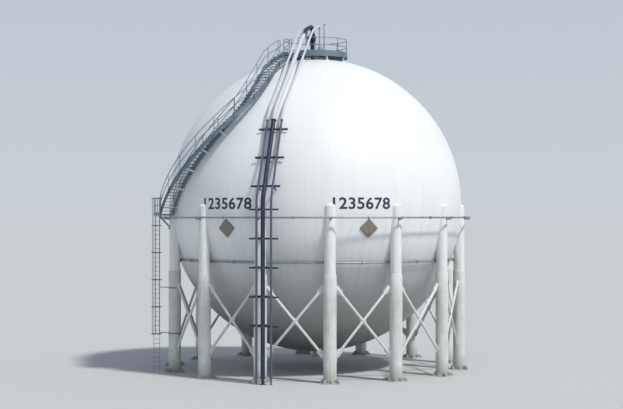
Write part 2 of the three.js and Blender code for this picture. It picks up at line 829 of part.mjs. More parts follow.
// A crossbar behind the pipes, with arms back to what carries it; rise is from the tank's centre.
function riserBracket(rise, armsAt, armHalfWidth) {
  const slope = (riserStandoff - kneeReach) / (kneeRise - riserKneeHeight);
  const lean = rise > riserKneeHeight ? Math.atan(slope) : 0;
  const reach = riserStandoff - Math.max(rise - riserKneeHeight, 0) * Math.tan(lean);
  const front = riserSideRadius + gap;
  const back = riserMainRadius + 4 * overlap;
  const pieces = [block(-bracketHalfWidth, bracketHalfWidth, front, back,
    -bracketHeight / 2, bracketHeight / 2)];
  for (const x of armsAt) {
    pieces.push(block(x - armHalfWidth, x + armHalfWidth, back - 2 * overlap, back + bracketArmReach,
      -bracketArmHeight / 2, bracketArmHeight / 2));
  }
  return pieces.map((piece) => piece.rotateX(-lean).translate(0, -reach, centreHeight + rise));
}

const riserMain = riserPipe(0, riserMainRadius);
const riserLegAngle = firstLegAzimuth - bayAngle - riserAzimuth;
const riserLegX = legCircleRadius * Math.sin(radians(riserLegAngle));
for (let i = 0; i < legBrackets; i += 1) {
  riserMain.push(...riserBracket(topLegBracket - i * bracketSpacing, [riserLegX], legArmHalfWidth));
}
for (let i = 0; i < shellBrackets; i += 1) {
  riserMain.push(...riserBracket(lowShellBracket + i * bracketSpacing, [-shellArmOffset, shellArmOffset],
    shellArmHalfWidth));
}

// A valve on the main riser's drop to the crown, with its stem and wheel towards the front
const valveMiddle = centreHeight + (crownValveLow + crownValveHigh) / 2;
riserMain.push(drum(crownValveRadius, centreHeight + crownValveLow, centreHeight + crownValveHigh,
  0, -dropReach, pipeSides));
riserMain.push(bar(new THREE.Vector3(0, -dropReach, valveMiddle),
  new THREE.Vector3(0, -crownWheelReach, valveMiddle), crownStemRadius, ringSides));
riserMain.push(bar(new THREE.Vector3(0, -crownWheelReach + crownWheelThickness, valveMiddle),
  new THREE.Vector3(0, -crownWheelReach, valveMiddle), crownWheelRadius, pipeSides));

const mainSolid = join(riserMain).subtract(toSolid(legColumn(gap, riserLegAngle)));
const mainParts = spools(mainSolid, 0, riserMainRadius, [[2, kneeJoint], [3, crestJoint]]);
addPiece('riser_main', mainParts[0], 'riser', riserAzimuth);
addPiece('riser_main_slope', mainParts[1], 'pale', riserAzimuth);
addPiece('riser_crown_valve', mainParts[2], 'riser', riserAzimuth);
for (const [name, offset] of [['riser_left', riserLeftOffset], ['riser_right', riserRightOffset]]) {
  const parts = spools(join(riserPipe(offset, riserSideRadius)), offset, riserSideRadius, [[2, kneeJoint]]);
  addPiece(name, parts[0], 'side', riserAzimuth);
  addPiece(`${name}_slope`, parts[1], 'pale', riserAzimuth);
}

// The origin is the middle of the footprint, at ground level.
const bounds = new THREE.Box3().setFromObject(tank);
const middle = bounds.getCenter(new THREE.Vector3());
for (const piece of tank.children) {
  piece.position.x -= middle.x;
  piece.position.y -= middle.y;
}

export default tank;
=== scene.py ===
# Spherical gas tank on fourteen braced legs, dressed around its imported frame.
# Lengths are metres. Pieces are made about the tank's own axis, front towards -Y, and then set
# in place.
import math

import bpy
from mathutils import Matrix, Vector


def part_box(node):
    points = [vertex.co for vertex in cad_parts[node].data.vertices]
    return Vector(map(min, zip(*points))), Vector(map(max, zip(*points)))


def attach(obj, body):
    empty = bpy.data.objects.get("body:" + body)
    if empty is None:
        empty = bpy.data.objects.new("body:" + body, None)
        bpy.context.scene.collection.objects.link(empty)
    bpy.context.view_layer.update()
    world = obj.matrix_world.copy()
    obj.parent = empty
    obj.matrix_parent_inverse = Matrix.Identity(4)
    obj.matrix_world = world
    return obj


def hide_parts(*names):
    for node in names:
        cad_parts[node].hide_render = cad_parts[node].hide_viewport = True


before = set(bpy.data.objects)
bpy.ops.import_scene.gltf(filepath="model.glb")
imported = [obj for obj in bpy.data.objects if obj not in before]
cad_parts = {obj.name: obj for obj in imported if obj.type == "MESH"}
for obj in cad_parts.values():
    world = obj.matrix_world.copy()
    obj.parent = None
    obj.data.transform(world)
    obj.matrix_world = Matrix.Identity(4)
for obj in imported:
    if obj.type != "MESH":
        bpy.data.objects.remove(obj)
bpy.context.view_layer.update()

# The tank, as the frame has it
equator_low, equator_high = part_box("shell_equator_course")
axis_x = (equator_low.x + equator_high.x) / 2
axis_y = (equator_low.y + equator_high.y) / 2
centre_z = (equator_low.z + equator_high.z) / 2
shell_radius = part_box("shell_top_crown")[1].z - centre_z
seam_heights = [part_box("shell_bottom_crown")[1].z, equator_low.z, equator_high.z,
                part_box("shell_top_crown")[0].z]
shell_wall = 0.05
ball_segments = 168
ball_rings = 96

# Legs and braces
leg_count = 14
bay = 2 * math.pi / leg_count
first_leg = math.radians(5.2)
leg_circle = 9.73
leg_radius = 0.3555
leg_flat = leg_radius * math.cos(math.pi / 12)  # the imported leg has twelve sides
leg_sides = 48
leg_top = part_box("leg_01")[1].z
cap_height = 0.2
concrete_radius = 0.405
concrete_top = 6.6
plate_side = 1.15
plate_thickness = 0.045
brace_radius = 0.084
brace_top = 6.35
brace_bottom = 1.18

# Water rings
ring_pipe = 0.057
upper_ring_radius = 10.431
upper_ring_z = 10.16
lower_ring_z = 7.36
lower_ring_radius = leg_circle - leg_flat - 0.025 - ring_pipe

# Stair, landing and ladder
landing_azimuth = first_leg - 3 * bay
landing_floor = 10.4
landing_thickness = 0.12
landing_half = 1.0
landing_outer = 10.95
landing_inner = leg_circle + leg_flat
stair_radius = 10.42
stair_half = 0.38
stair_pitch = math.radians(45)
run_azimuth = math.radians(-22.7)
run_offset = 0.81
bend_easing = 1.2
stair_segments = 18
risers_per_segment = 3
rail_height = 1.07
knee_height = 0.56
rail_pipe = 0.024
rail_top = rail_height - rail_pipe
ladder_half = 0.2
ladder_y = -landing_outer + 0.03 + ladder_half
rung_spacing = 0.3

# Top deck and riser pipes
deck_rise = shell_radius + 0.25
deck_z = centre_z + deck_rise
deck_thickness = 0.2
deck_radius = 2.2
well_radius = 1.0
deck_rail_radius = 2.14
rim_clear = 0.012
toe_height = 0.2
bar_spacing = 0.036
rod_spacing = 0.1
grating_depth = 0.036
riser_azimuth = math.radians(-17.2)
riser_stand = 10.86
riser_knee = 0.3
riser_main_pipe = 0.137
riser_side_pipe = 0.07
riser_side_places = (-0.41, 0.53)
flange_share = 1.35


# Colours and nodes
def colour(hex_code):
    """Turns an sRGB hex code to linear light."""
    channels = [int(hex_code[i:i + 2], 16) / 255 for i in (0, 2, 4)]
    linear = [c / 12.92 if c <= 0.04045 else ((c + 0.055) / 1.055) ** 2.4 for c in channels]
    return (*linear, 1.0)


def feed(node, inputs):
    """Links or sets a node's inputs, by name or in order. A node stands for its first output."""
    in_use = [socket for socket in node.inputs if socket.enabled]
    for key, value in inputs.items() if isinstance(inputs, dict) else enumerate(inputs):
        socket = in_use[key] if isinstance(key, int) else node.inputs[key]
        if isinstance(value, bpy.types.Node):
            value = next(output for output in value.outputs if output.enabled)
        if isinstance(value, bpy.types.NodeSocket):
            node.id_data.links.new(value, socket)
        else:
            socket.default_value = value


def add(tree, kind, inputs=(), stops=(), **settings):
    """Adds a node with its settings and links, and gives a ramp its stops."""
    node = tree.nodes.new("ShaderNode" + kind)
    for key, value in settings.items():
        setattr(node, key, value)
    feed(node, inputs)
    if stops:
        ramp = node.color_ramp.elements
        while len(ramp) < len(stops):
            ramp.new(0.5)
        for element, (place, shade) in zip(ramp, stops):
            element.position, element.color = place, shade
    return node


def new_material(name):
    material = bpy.data.materials.new(name)
    material.use_nodes = True
    tree = material.node_tree
    return material, tree, tree.nodes["Principled BSDF"], add(tree, "TexCoord").outputs["Object"]


def coated(tree, shade, pattern, bare, full, most, hex_code):
    """Lays a second colour over a shade, more and more as a pattern goes from bare to full."""
    share = add(tree, "MapRange", [pattern, bare, full, 0.0, most])
    return add(tree, "Mix", [share, shade, colour(hex_code)], data_type="RGBA")


# Materials. A noise is given its place, then its scale in blotches to a metre, its detail and
# its roughness.
def shell_paint():
    """Two-part white enamel, sprayed on rolled steel plate: half gloss, and each plate keeps a
    faint tone of its own. Rain draws grey streaks down it. The lower half is greyed more and
    more towards the bottom, partly as painted shade of the under side, which faces the ground,
    and partly as grime."""
    material, tree, shader, place = new_material("white_enamel_on_plate")
    centred = add(tree, "Mapping", {"Vector": place, "Location": (-axis_x, -axis_y, -centre_z)})
    parts = add(tree, "SeparateXYZ", [centred]).outputs
    behind = add(tree, "Math", [parts["Y"], -1.0], operation="MULTIPLY")
    turn = add(tree, "Math", [parts["X"], behind], operation="ARCTAN2")
    height = add(tree, "Math", [parts["Z"], shell_radius], operation="DIVIDE")
    # A course has fourteen plates round the tank; the ramp gives each course its own number.
    per_turn = leg_count / math.tau
    plate = add(tree, "Math", [turn, per_turn, -first_leg * per_turn], operation="MULTIPLY_ADD")
    rise = add(tree, "Math", [height, 0.5, 0.5], operation="MULTIPLY_ADD")
    course = add(tree, "ValToRGB", [rise], [
        (limit, (number, number, number, 1)) for limit, number in
        ((0.0, 0.1), (0.09, 0.3), (0.305, 0.5), (0.695, 0.7), (0.91, 0.9))])
    course.color_ramp.interpolation = "CONSTANT"
    cell = add(tree, "CombineXYZ", [add(tree, "Math", [plate], operation="FLOOR"), course])
    tone = add(tree, "TexWhiteNoise", [cell], noise_dimensions="3D")
    base = add(tree, "Mix", [tone, colour("e6e8e8"), colour("eceeee")], data_type="RGBA")
    # Streaks are some 0.3 m wide and run metres down.
    across = add(tree, "Math", [turn, 22.0], operation="MULTIPLY")
    streaks = add(tree, "TexNoise", [add(tree, "CombineXYZ", [across, height]), 1.6, 7.0, 0.62])
    streak_share = add(tree, "MapRange", [streaks, 0.46, 0.78, 0.0, 0.42])
    below = add(tree, "MapRange", [height, 0.35, -0.95, 0.08, 1.0])
    dirt = add(tree, "Math", [streak_share, below], operation="MULTIPLY", use_clamp=True)
    base = add(tree, "Mix", [dirt, base, colour("9c9a90")], data_type="RGBA")
    # Painted shade, with some grime: the paint greys more and more from a little below the middle
    # to the bottom, standing in for the shade of the under side.
    base = coated(tree, base, height, -0.18, -0.85, 0.95, "777b7a")
    cloud = add(tree, "TexNoise", [centred, 0.45, 5.0])
    base = coated(tree, base, cloud, 0.4, 0.75, 0.12, "c4c6c0")
    # Rolled plate keeps waves about a metre long and some millimetres deep. The paint's orange
    # peel, which is 1 mm wide, would not show, and is drawn about 15 mm wide.
    waves = add(tree, "TexNoise", [centred, 0.9, 2.0])
    wavy = add(tree, "Bump", {"Height": waves, "Distance": 0.02, "Strength": 0.5})
    peel = add(tree, "TexNoise", [centred, 60.0, 2.0])
    feed(shader, {"Base Color": base, "IOR": 1.5,
                  "Roughness": add(tree, "MapRange", [dirt, 0.0, 1.0, 0.38, 0.7]),
                  "Normal": add(tree, "Bump", {"Height": peel, "Distance": 0.001, "Strength": 0.2,
                                               "Normal": wavy})})
    return material


def weathered_paint(name, hex_code, dirt_hex, roughness, dirt_reach, rust=0.0):
    """Brushed enamel on steel pipe or bar: a dull sheen, dust in patches that run lengthwise,
    and on old work spots of rust about 0.1 m wide."""
    material, tree, shader, place = new_material(name)
    lengthwise = add(tree, "Mapping", {"Vector": place, "Scale": (3.0, 3.0, 0.5)})
    patches = add(tree, "TexNoise", [lengthwise, 2.0, 6.0, 0.6])
    shade = coated(tree, colour(hex_code), patches, 0.45, 0.75, dirt_reach, dirt_hex)
    if rust:
        spots = add(tree, "TexNoise", [place, 9.0, 8.0, 0.7])
        shade = coated(tree, shade, spots, 0.64, 0.72, rust, "7a4a2c")
    rough = add(tree, "MapRange", [patches, 0.0, 1.0, roughness - 0.08, roughness + 0.2])
    # Brush marks under a millimetre would not show, and are drawn about 20 mm wide.
    marks = add(tree, "TexNoise", [place, 45.0, 3.0])
    brushed = add(tree, "Bump", {"Height": marks, "Distance": 0.0015, "Strength": 0.3})
    feed(shader, {"Base Color": shade, "IOR": 1.5, "Roughness": rough, "Normal": brushed})
    return material


def fireproofing():
    """Painted concrete cast round the pipes: quite matt, blotched, with rain runs down it, mud
    splashed on its lowest metre, and open pores, drawn about 30 mm wide so that they show."""
    material, tree, shader, place = new_material("painted_concrete_fireproofing")
    blotch = add(tree, "TexNoise", [place, 1.7, 8.0, 0.65])
    base = add(tree, "ValToRGB", [blotch], [(0.3, colour("c6c8c4")), (0.7, colour("dadcd8"))])
    lengthwise = add(tree, "Mapping", {"Vector": place, "Scale": (6.0, 6.0, 0.35)})
    runs = add(tree, "TexNoise", [lengthwise, 1.5, 6.0])
    shade = coated(tree, base, runs, 0.5, 0.75, 0.45, "9b978a")
    height = add(tree, "SeparateXYZ", [place]).outputs["Z"]
    low = add(tree, "MapRange", [height, 0.1, 1.1, 0.6, 0.0])
    patchy = add(tree, "Math", [blotch, 0.45], operation="ADD")
    splash = add(tree, "Math", [low, patchy], operation="MULTIPLY", use_clamp=True)
    shade = add(tree, "Mix", [splash, shade, colour("817c70")], data_type="RGBA")
    pores = add(tree, "TexNoise", [place, 30.0, 6.0, 0.7])
    porous = add(tree, "Bump", {"Height": pores, "Distance": 0.006, "Strength": 0.6})
    feed(shader, {"Base Color": shade, "Roughness": 0.85, "Normal": porous})
    return material


def galvanised(name, dark_hex, light_hex, roughness):
    """Hot-dipped zinc on steel, gone dull outdoors: half metal, half its chalky grey skin, in
    crystals whose greys differ a little. Real ones are 5 to 20 mm wide; they are drawn 35 mm
    wide so that they show."""
    material, tree, shader, place = new_material(name)
    spangle = add(tree, "TexVoronoi", {"Vector": place, "Scale": 28.0}).outputs["Color"]
    dull = add(tree, "TexNoise", [place, 1.3, 6.0, 0.6])
    grey = add(tree, "Math", [dull, 0.65], operation="MULTIPLY")
    crystal = add(tree, "SeparateColor", [spangle])
    mixed = add(tree, "Math", [crystal, 0.35, grey], operation="MULTIPLY_ADD")
    shade = add(tree, "ValToRGB", [mixed], [(0.25, colour(dark_hex)), (0.75, colour(light_hex))])
    rough = add(tree, "MapRange", [mixed, 0.0, 1.0, roughness, roughness + 0.18])
    uneven = add(tree, "Bump", {"Height": dull, "Distance": 0.002, "Strength": 0.2})
    feed(shader, {"Base Color": shade, "Metallic": 0.65, "Roughness": rough, "Normal": uneven})
    return material


shell_white = shell_paint()
concrete = fireproofing()
leg_white = weathered_paint("white_enamel_on_pipe", "e4e6e4", "a9a79c", 0.42, 0.35)
brace_white = weathered_paint("pale_enamel_on_brace", "d5d8d6", "938f84", 0.5, 0.4, rust=0.35)
riser_navy = weathered_paint("navy_enamel_on_riser", "192b41", "4a5460", 0.38, 0.3)
riser_slate = weathered_paint("slate_enamel_on_side_pipe", "4a5b6d", "5d6a73", 0.42, 0.3)
nozzle_white = weathered_paint("pale_grey_enamel", "c6ccd0", "8f918d", 0.42, 0.3)
valve_grey = weathered_paint("grey_enamel_on_valve", "8d9498", "5e625f", 0.45, 0.35)
dark_cap = weathered_paint("black_rain_cap", "23262a", "4a4a48", 0.6, 0.3)
marking_navy = weathered_paint("navy_marking_paint", "27324a", "4c5566", 0.5, 0.25)
plate_edge = weathered_paint("dark_enamel_on_plate", "494a50", "6a625a", 0.55, 0.4)
plate_face = weathered_paint("faded_enamel_on_plate", "85796f", "a09890", 0.6, 0.5)
stair_zinc = galvanised("dull_galvanised_stair", "6b7985", "95a2ad", 0.5)
ring_zinc = galvanised("galvanised_water_pipe", "878e92", "a9b0b3", 0.42)
bolt_zinc = galvanised("zinc_plated_bolts", "6c7274", "979da0", 0.4)


# Modelling by hand
def only(piece):
    """Leaves edit mode and selects one piece alone."""
    if bpy.context.mode != "OBJECT":
        bpy.ops.object.mode_set(mode="OBJECT")
    bpy.ops.object.select_all(action="DESELECT")
    bpy.context.view_layer.objects.active = piece
    piece.select_set(True)


def placed(name, data):
    """A new object in the scene, alone selected."""
    made = bpy.data.objects.new(name, data)
    bpy.context.scene.collection.objects.link(made)
    only(made)
    return made


def begin_mesh(name):
    """Starts an empty mesh in edit mode. All that is added next becomes part of it."""
    made = placed(name, bpy.data.meshes.new(name))
    bpy.ops.object.mode_set(mode="EDIT")
    bpy.ops.mesh.select_mode(type="FACE")
    return made


def deselect():
    bpy.ops.mesh.select_all(action="DESELECT")


def cut_off(place, way, side):
    """Cuts the mesh being edited by a plane, and clears its inner or outer side, or neither."""
    bpy.ops.mesh.select_all(action="SELECT")
    bpy.ops.mesh.bisect(plane_co=place, plane_no=way, clear_inner=side == "inner",
                        clear_outer=side == "outer")


def slab(middle, size, turn=(0, 0, 0)):
    """A box about its middle, turned there."""
    bpy.ops.mesh.primitive_cube_add(size=1, location=middle, rotation=turn, scale=size)


def block(x0, x1, y0, y1, z0, z1):
    """A box that lies square, between two values on each axis."""
    slab(((x0 + x1) / 2, (y0 + y1) / 2, (z0 + z1) / 2), (abs(x1 - x0), abs(y1 - y0), abs(z1 - z0)))


def ball(radius):
    bpy.ops.mesh.primitive_uv_sphere_add(segments=ball_segments, ring_count=ball_rings,
                                         radius=radius, location=(0, 0, centre_z))


def turned(profile, sides, x=0.0, y=0.0, base=0.0, way=1):
    """A turned solid: a disc raised and widened step by step along its profile of radius and
    height. The heights count up or down from the base."""
    radius, height = profile[0]
    deselect()
    bpy.ops.mesh.primitive_circle_add(vertices=sides, radius=radius, fill_type="NGON",
                                      location=(x, y, base + way * height))
    for next_radius, next_height in profile[1:]:
        rise = way * (next_height - height)
        bpy.ops.mesh.extrude_region_move(TRANSFORM_OT_translate={"value": (0, 0, rise)})
        if next_radius != radius:
            share = next_radius / radius
            bpy.ops.transform.resize(value=(share, share, 1),
                                     center_override=(x, y, base + way * next_height))
        radius, height = next_radius, next_height


def begin_turned(name, profiles, sides, *place):
    """Starts a mesh with solids turned on one axis; place is its X, Y, base and way."""
    made = begin_mesh(name)
    for profile in profiles:
        turned(profile, sides, *place)
    return made


def tube(start, end, radius, sides):
    """A straight round bar between two points."""
    start, end = Vector(start), Vector(end)
    run = end - start
    bpy.ops.mesh.primitive_cylinder_add(vertices=sides, radius=radius, depth=run.length,
                                        location=(start + end) / 2,
                                        rotation=run.to_track_quat("Z", "Y").to_euler())


def hoop(radius, thickness, middle, sides, around=6, turn=(0, 0, 0)):
    """A ring of round bar about its middle."""
    bpy.ops.mesh.primitive_torus_add(major_radius=radius, minor_radius=thickness,
                                     major_segments=sides, minor_segments=around,
                                     location=middle, rotation=turn)


def repeat_around(count, middle=(0, 0, 0), axis=(0, 0, 1)):
    """Copies what is selected so that it stands count times round an axis."""
    bpy.ops.mesh.spin(steps=count - 1, dupli=True, angle=math.tau * (count - 1) / count,
                      center=middle, axis=axis)


def begin_bolts(name, rows, x=0.0, y=0.0):
    """Starts a mesh of hexagonal bolt heads round flanges. A row has their count, circle, bolt
    size and seat, and the way they point, up or down."""
    made = begin_mesh(name)
    for count, circle, size, seat, way in rows:
        deselect()
        bpy.ops.mesh.primitive_cylinder_add(vertices=6, radius=size * 0.95, depth=size * 0.75,
                                            location=(x + circle, y, seat + way * size * 0.37))
        repeat_around(count, (x, y, 0))
    return made


def rounded(points, reaches, steps=6):
    """The points of a bent pipe: each corner gives way to an arc that begins so far before it."""
    path = [Vector(points[0])]
    for before, corner, after, reach in zip(points, points[1:], points[2:], reaches):
        corner = Vector(corner)
        start = corner + (Vector(before) - corner).normalized() * reach
        end = corner + (Vector(after) - corner).normalized() * reach
        for i in range(steps + 1):
            share, rest = i / steps, 1 - i / steps
            path.append(start * rest ** 2 + corner * 2 * share * rest + end * share ** 2)
    return [*path, Vector(points[-1])]


def polyline(curve, points, closed=False):
    spline = curve.splines.new("POLY")
    spline.points.add(len(points) - 1)
    for point, place in zip(spline.points, points):
        point.co = (*place, 1)
    spline.use_cyclic_u = closed


def swept(name, paths, radius, roundness=6):
    """Round pipes along their points, as one mesh."""
    curve = bpy.data.curves.new(name, "CURVE")
    curve.dimensions = "3D"
    curve.bevel_depth = radius
    curve.bevel_resolution = roundness
    curve.use_fill_caps = True
    for path in paths:
        polyline(curve, path)
    placed(name, curve)
    bpy.ops.object.convert(target="MESH")
    return bpy.context.active_object


def finished(piece, kind, **settings):
    """Applies one modifier to a piece."""
    only(piece)
    modifier = piece.modifiers.new(kind, kind)
    for key, value in settings.items():
        setattr(modifier, key, value)
    bpy.ops.object.modifier_apply(modifier=modifier.name)
    return piece


def bevelled(piece, width, segments=1, angle=40):
    return finished(piece, "BEVEL", width=width, segments=segments, limit_method="ANGLE",
                    angle_limit=math.radians(angle))


def outward(piece):
    """Merges doubles and turns every face outwards."""
    only(piece)
    bpy.ops.object.mode_set(mode="EDIT")
    bpy.ops.mesh.select_all(action="SELECT")
    bpy.ops.mesh.remove_doubles(threshold=0.00002)
    bpy.ops.mesh.normals_make_consistent(inside=False)
    bpy.ops.object.mode_set(mode="OBJECT")
    return piece


def walled(sheet, thickness):
    """Gives a bent sheet its wall, on the inner side."""
    return finished(outward(sheet), "SOLIDIFY", thickness=thickness, offset=-1)


def moved(piece, place, turn=(0, 0, 0)):
    """Turns and moves a piece, and applies that to its mesh."""
    only(piece)
    piece.location, piece.rotation_euler = place, turn
    bpy.ops.object.transform_apply(location=True, rotation=True, scale=True)
    return piece


def joined(name, pieces):
    only(pieces[0])
    for piece in pieces:
        piece.select_set(True)
    bpy.ops.object.join()
    pieces[0].name = name
    return pieces[0]


def another(piece):
    """A copy with a mesh of its own."""
    only(piece)
    bpy.ops.object.duplicate()
    return bpy.context.active_object


def scattered(name, template, places):
    """Copies of a template at points and headings, joined in one mesh."""
    copies = [moved(another(template), place, (0, 0, heading)) for place, heading in places]
    bpy.data.objects.remove(template)
    return joined(name, copies)


def settle(piece, material, nodes=(), azimuth=0.0):
    """Sets a finished piece in its place round the tank, paints it, and ties it to the frame."""
    piece.data.name = piece.name
    moved(piece, (axis_x, axis_y, 0), (0, 0, azimuth))
    bpy.ops.object.shade_smooth_by_angle(angle=math.radians(35))
    piece.data.materials.clear()
    piece.data.materials.append(material)
    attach(piece, "root")
    for node in nodes:
        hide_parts(node)


def stand_round(stem, shift, parts):
    """Sets a copy of each part at every leg, or part of a bay on, and takes the first ones away."""
    for i in range(leg_count):
        node = f"{stem}_{i + 1:02d}"
        for part, ending, material, dresses in parts:
            copy = another(part)
            copy.name = node + ending
            settle(copy, material, [node] if dresses else [], first_leg + (i + shift) * bay)
    for part in parts:
        bpy.data.objects.remove(part[0])


def around_tank(azimuth, radius, z=0.0):
    return Vector((radius * math.sin(azimuth), -radius * math.cos(azimuth), z))


def heading_way(turn):
    return Vector((math.cos(turn), math.sin(turn), 0))


up = Vector((0, 0, 1))


# Camera: a little below the shell's middle and ten radii away, as the photograph sees it
camera_data = bpy.data.cameras.new("camera")
camera_data.lens = 84
camera_data.clip_end = 2000
camera = placed("camera", camera_data)
camera.location = (axis_x - 0.25, axis_y - 10 * shell_radius, centre_z - 0.083 * shell_radius)
camera.rotation_euler = (math.radians(90.5), 0, 0)
bpy.context.scene.camera = camera


# Shell: five rings of plate, each a zone of the sphere with its wall
def make_shell():
    limits = [None, *seam_heights, None]
    zones = ("bottom_crown", "lower_course", "equator_course", "upper_course", "top_crown")
    for zone, low, high in zip(zones, limits, limits[1:]):
        plates = begin_mesh(f"shell_{zone}_plates")
        ball(shell_radius)
        if low:
            cut_off((0, 0, low), up, "inner")
        if high:
            cut_off((0, 0, high), up, "outer")
        settle(walled(plates, shell_wall), shell_white, [f"shell_{zone}"])


def make_weld_seams():
    """Level beads between the courses, upright ones between their plates, and two across each
    crown. A bead stands a little proud of the shell."""
    bead = 0.012
    sunk = 0.007
    middle = shell_radius - sunk
    crown_seam = 1.6
    steps, crown_steps = 24, 40
    levels = begin_mesh("level_seams")
    for z in seam_heights:
        level_radius = math.sqrt(shell_radius ** 2 - (z - centre_z) ** 2)
        hoop(level_radius - sunk, bead, (0, 0, z), ball_segments)
    latitudes = [math.asin((z - centre_z) / shell_radius) for z in seam_heights]
    paths = []
    for low, high, shift in zip(latitudes, latitudes[1:], (0.25, 0.5, 0.25)):
        rise = [low + (high - low) * step / steps for step in range(steps + 1)]
        for i in range(leg_count):
            azimuth = first_leg + (i + shift) * bay
            paths.append([around_tank(azimuth, middle * math.cos(latitude),
                                      centre_z + middle * math.sin(latitude)) for latitude in rise])
    edge = latitudes[-1]
    for way in (1, -1):
        for y in (-crown_seam, crown_seam):
            path = []
            for step in range(crown_steps + 1):
                turn = edge + (math.pi - 2 * edge) * step / crown_steps
                lift = math.sqrt((middle * math.sin(turn)) ** 2 - y ** 2)
                path.append((middle * math.cos(turn), y, centre_z + way * lift))
            paths.append(path)
    seams = joined("shell_weld_seams", [levels, swept("upright_seams", paths, bead, 1)])
    settle(seams, shell_white)


# Legs: pipe with its cap and weld, concrete casing, and base plate with ribs and anchor bolts
def make_leg_steel():
    """The pipe, cut off where it meets the shell, its domed cap, and the welds of both."""
    cap_seam = leg_top - cap_height
    cap_steps = 9
    profile = [(leg_radius, concrete_top - 0.08), (leg_radius, cap_seam)]
    for i in range(1, cap_steps):
        turn = math.pi / 2 * i / cap_steps
        profile.append((leg_radius * math.cos(turn), cap_seam + cap_height * math.sin(turn)))
    profile.append((0.02, leg_top))
    pipe = outward(begin_turned("leg_pipe", [profile], leg_sides, 0, -leg_circle))
    ball(shell_radius - 0.02)
    shell = bpy.context.active_object
    finished(pipe, "BOOLEAN", object=shell, operation="DIFFERENCE")
    bpy.data.objects.remove(shell)
    cope = []
    cope_half, cope_steps = math.radians(116), 40
    for step in range(cope_steps + 1):
        turn = cope_half * (2 * step / cope_steps - 1)
        x, y = leg_radius * math.sin(turn), -leg_circle + leg_radius * math.cos(turn)
        z = centre_z - math.sqrt(max(shell_radius ** 2 - x * x - y * y, 0))
        if z < centre_z - 0.02:
            cope.append((x, y, z))
    weld = swept("cope_weld", [cope], 0.018, 2)
    ring = begin_mesh("cap_weld")
    hoop(leg_radius, 0.009, (0, -leg_circle, cap_seam), leg_sides)
    return joined("leg_steel", [pipe, weld, ring])


def make_leg_concrete():
    """The casing, with a shallow groove where each pour of concrete ended."""
    groove = 0.012
    bottom = concrete_radius - groove
    profile = [(concrete_radius, plate_thickness)]
    for z in (1.65, 3.3, 4.95):
        profile += [(concrete_radius, z - groove), (bottom, z), (concrete_radius, z + groove)]
    profile += [(concrete_radius, concrete_top - 0.02), (bottom, concrete_top),
                (leg_radius + groove, concrete_top + 0.045)]
    return outward(begin_turned("leg_concrete", [profile], leg_sides, 0, -leg_circle))


def make_leg_base():
    """The base plate with eight ribs up the casing, and a collar round its foot."""
    half = plate_side / 2
    plate = begin_mesh("leg_base")
    block(-half, half, -leg_circle - half, -leg_circle + half, 0, plate_thickness)
    for i in range(8):
        turn = math.tau * i / 8
        reach = 0.6 if i % 2 else 0.53
        middle = heading_way(turn) * (concrete_radius + reach) / 2 + Vector((0, -leg_circle, 0.14))
        slab(middle, (reach - concrete_radius + 0.03, 0.018, 0.2), (0, 0, turn))
    bevelled(plate, 0.006)
    width = concrete_radius + 0.014
    collar = begin_turned("base_collar", [[(width, plate_thickness), (width, 0.3)]], leg_sides,
                          0, -leg_circle)
    return joined("leg_base", [plate, outward(collar)])


def make_anchor_bolts():
    """At each corner a washer, a nut and the end of the bolt."""
    corner = 0.47
    bolts = begin_mesh("anchor_bolts")
    for x in (-corner, corner):
        for y in (-leg_circle - corner, -leg_circle + corner):
            for profile, sides in (([(0.055, 0), (0.055, 0.01)], 16),
                                   ([(0.044, 0.01), (0.044, 0.05)], 6),
                                   ([(0.024, 0.05), (0.024, 0.11), (0.018, 0.118)], 12)):
                turned(profile, sides, x, y, plate_thickness)
    return outward(bolts)


# Braces: crossed pipes with bolted gussets at the legs and a plate where they meet
def make_braces():
    half = leg_circle * math.sin(bay / 2)
    plane = -leg_circle * math.cos(bay / 2)
    crossing = (brace_top + brace_bottom) / 2
    slope = Vector((2 * half, 0, brace_top - brace_bottom)).normalized()
    pitch = math.atan2(slope.z, slope.x)
    through = Vector((0, 0.026, 0))
    bolt = 0.02
    crossing_half = 0.2
    rods = begin_mesh("brace_pipes")
    for side in (-1, 1):
        setback = Vector((side * slope.x, 0, slope.z)) * (concrete_radius + 0.13)
        tube(Vector((side * half, plane, brace_top)) - setback,
             Vector((-side * half, plane, brace_bottom)) + setback, brace_radius, 20)
    bevelled(rods, 0.012, 2, 60)
    plates = begin_mesh("brace_plates")
    bolt_spots = []
    for side in (-1, 1):
        for end, lean in ((brace_top, -1), (brace_bottom, 1)):
            leg_axis = Vector((side * half, plane, end))
            inward = Vector((-side * slope.x, 0, lean * slope.z))
            across = Vector((inward.z, 0, -inward.x))
            slab(leg_axis + inward * 0.86, (0.5, 0.022, 0.36), (0, pitch * side * lean, 0))
            # The pad that the gusset is welded to, on the casing
            entry = end + inward.z / abs(inward.x) * concrete_radius
            face = side * (half - concrete_radius)
            block(face + side * 0.02, face - side * 0.014, plane - 0.12, plane + 0.12,
                  entry - 0.34, entry + 0.34)
            bolt_spots += [leg_axis + inward * along + across * offset
                           for along in (0.8, 0.92, 1.04) for offset in (-0.135, 0.135)]
    block(-crossing_half, crossing_half, plane - 0.015, plane + 0.015, crossing - crossing_half,
          crossing + crossing_half)
    bevelled(plates, 0.004)
    bolts = begin_mesh("brace_bolts")
    for spot in bolt_spots:
        tube(spot - through, spot + through, bolt, 6)
    deselect()
    tube((0.165, plane - 0.03, crossing), (0.165, plane + 0.03, crossing), bolt, 6)
    repeat_around(4, (0, plane, crossing), (0, 1, 0))
    stand_round("brace", 0.5, [(rods, "_pipes", brace_white, True),
                               (plates, "_plates", brace_white, True),
                               (bolts, "_bolts", bolt_zinc, False)])


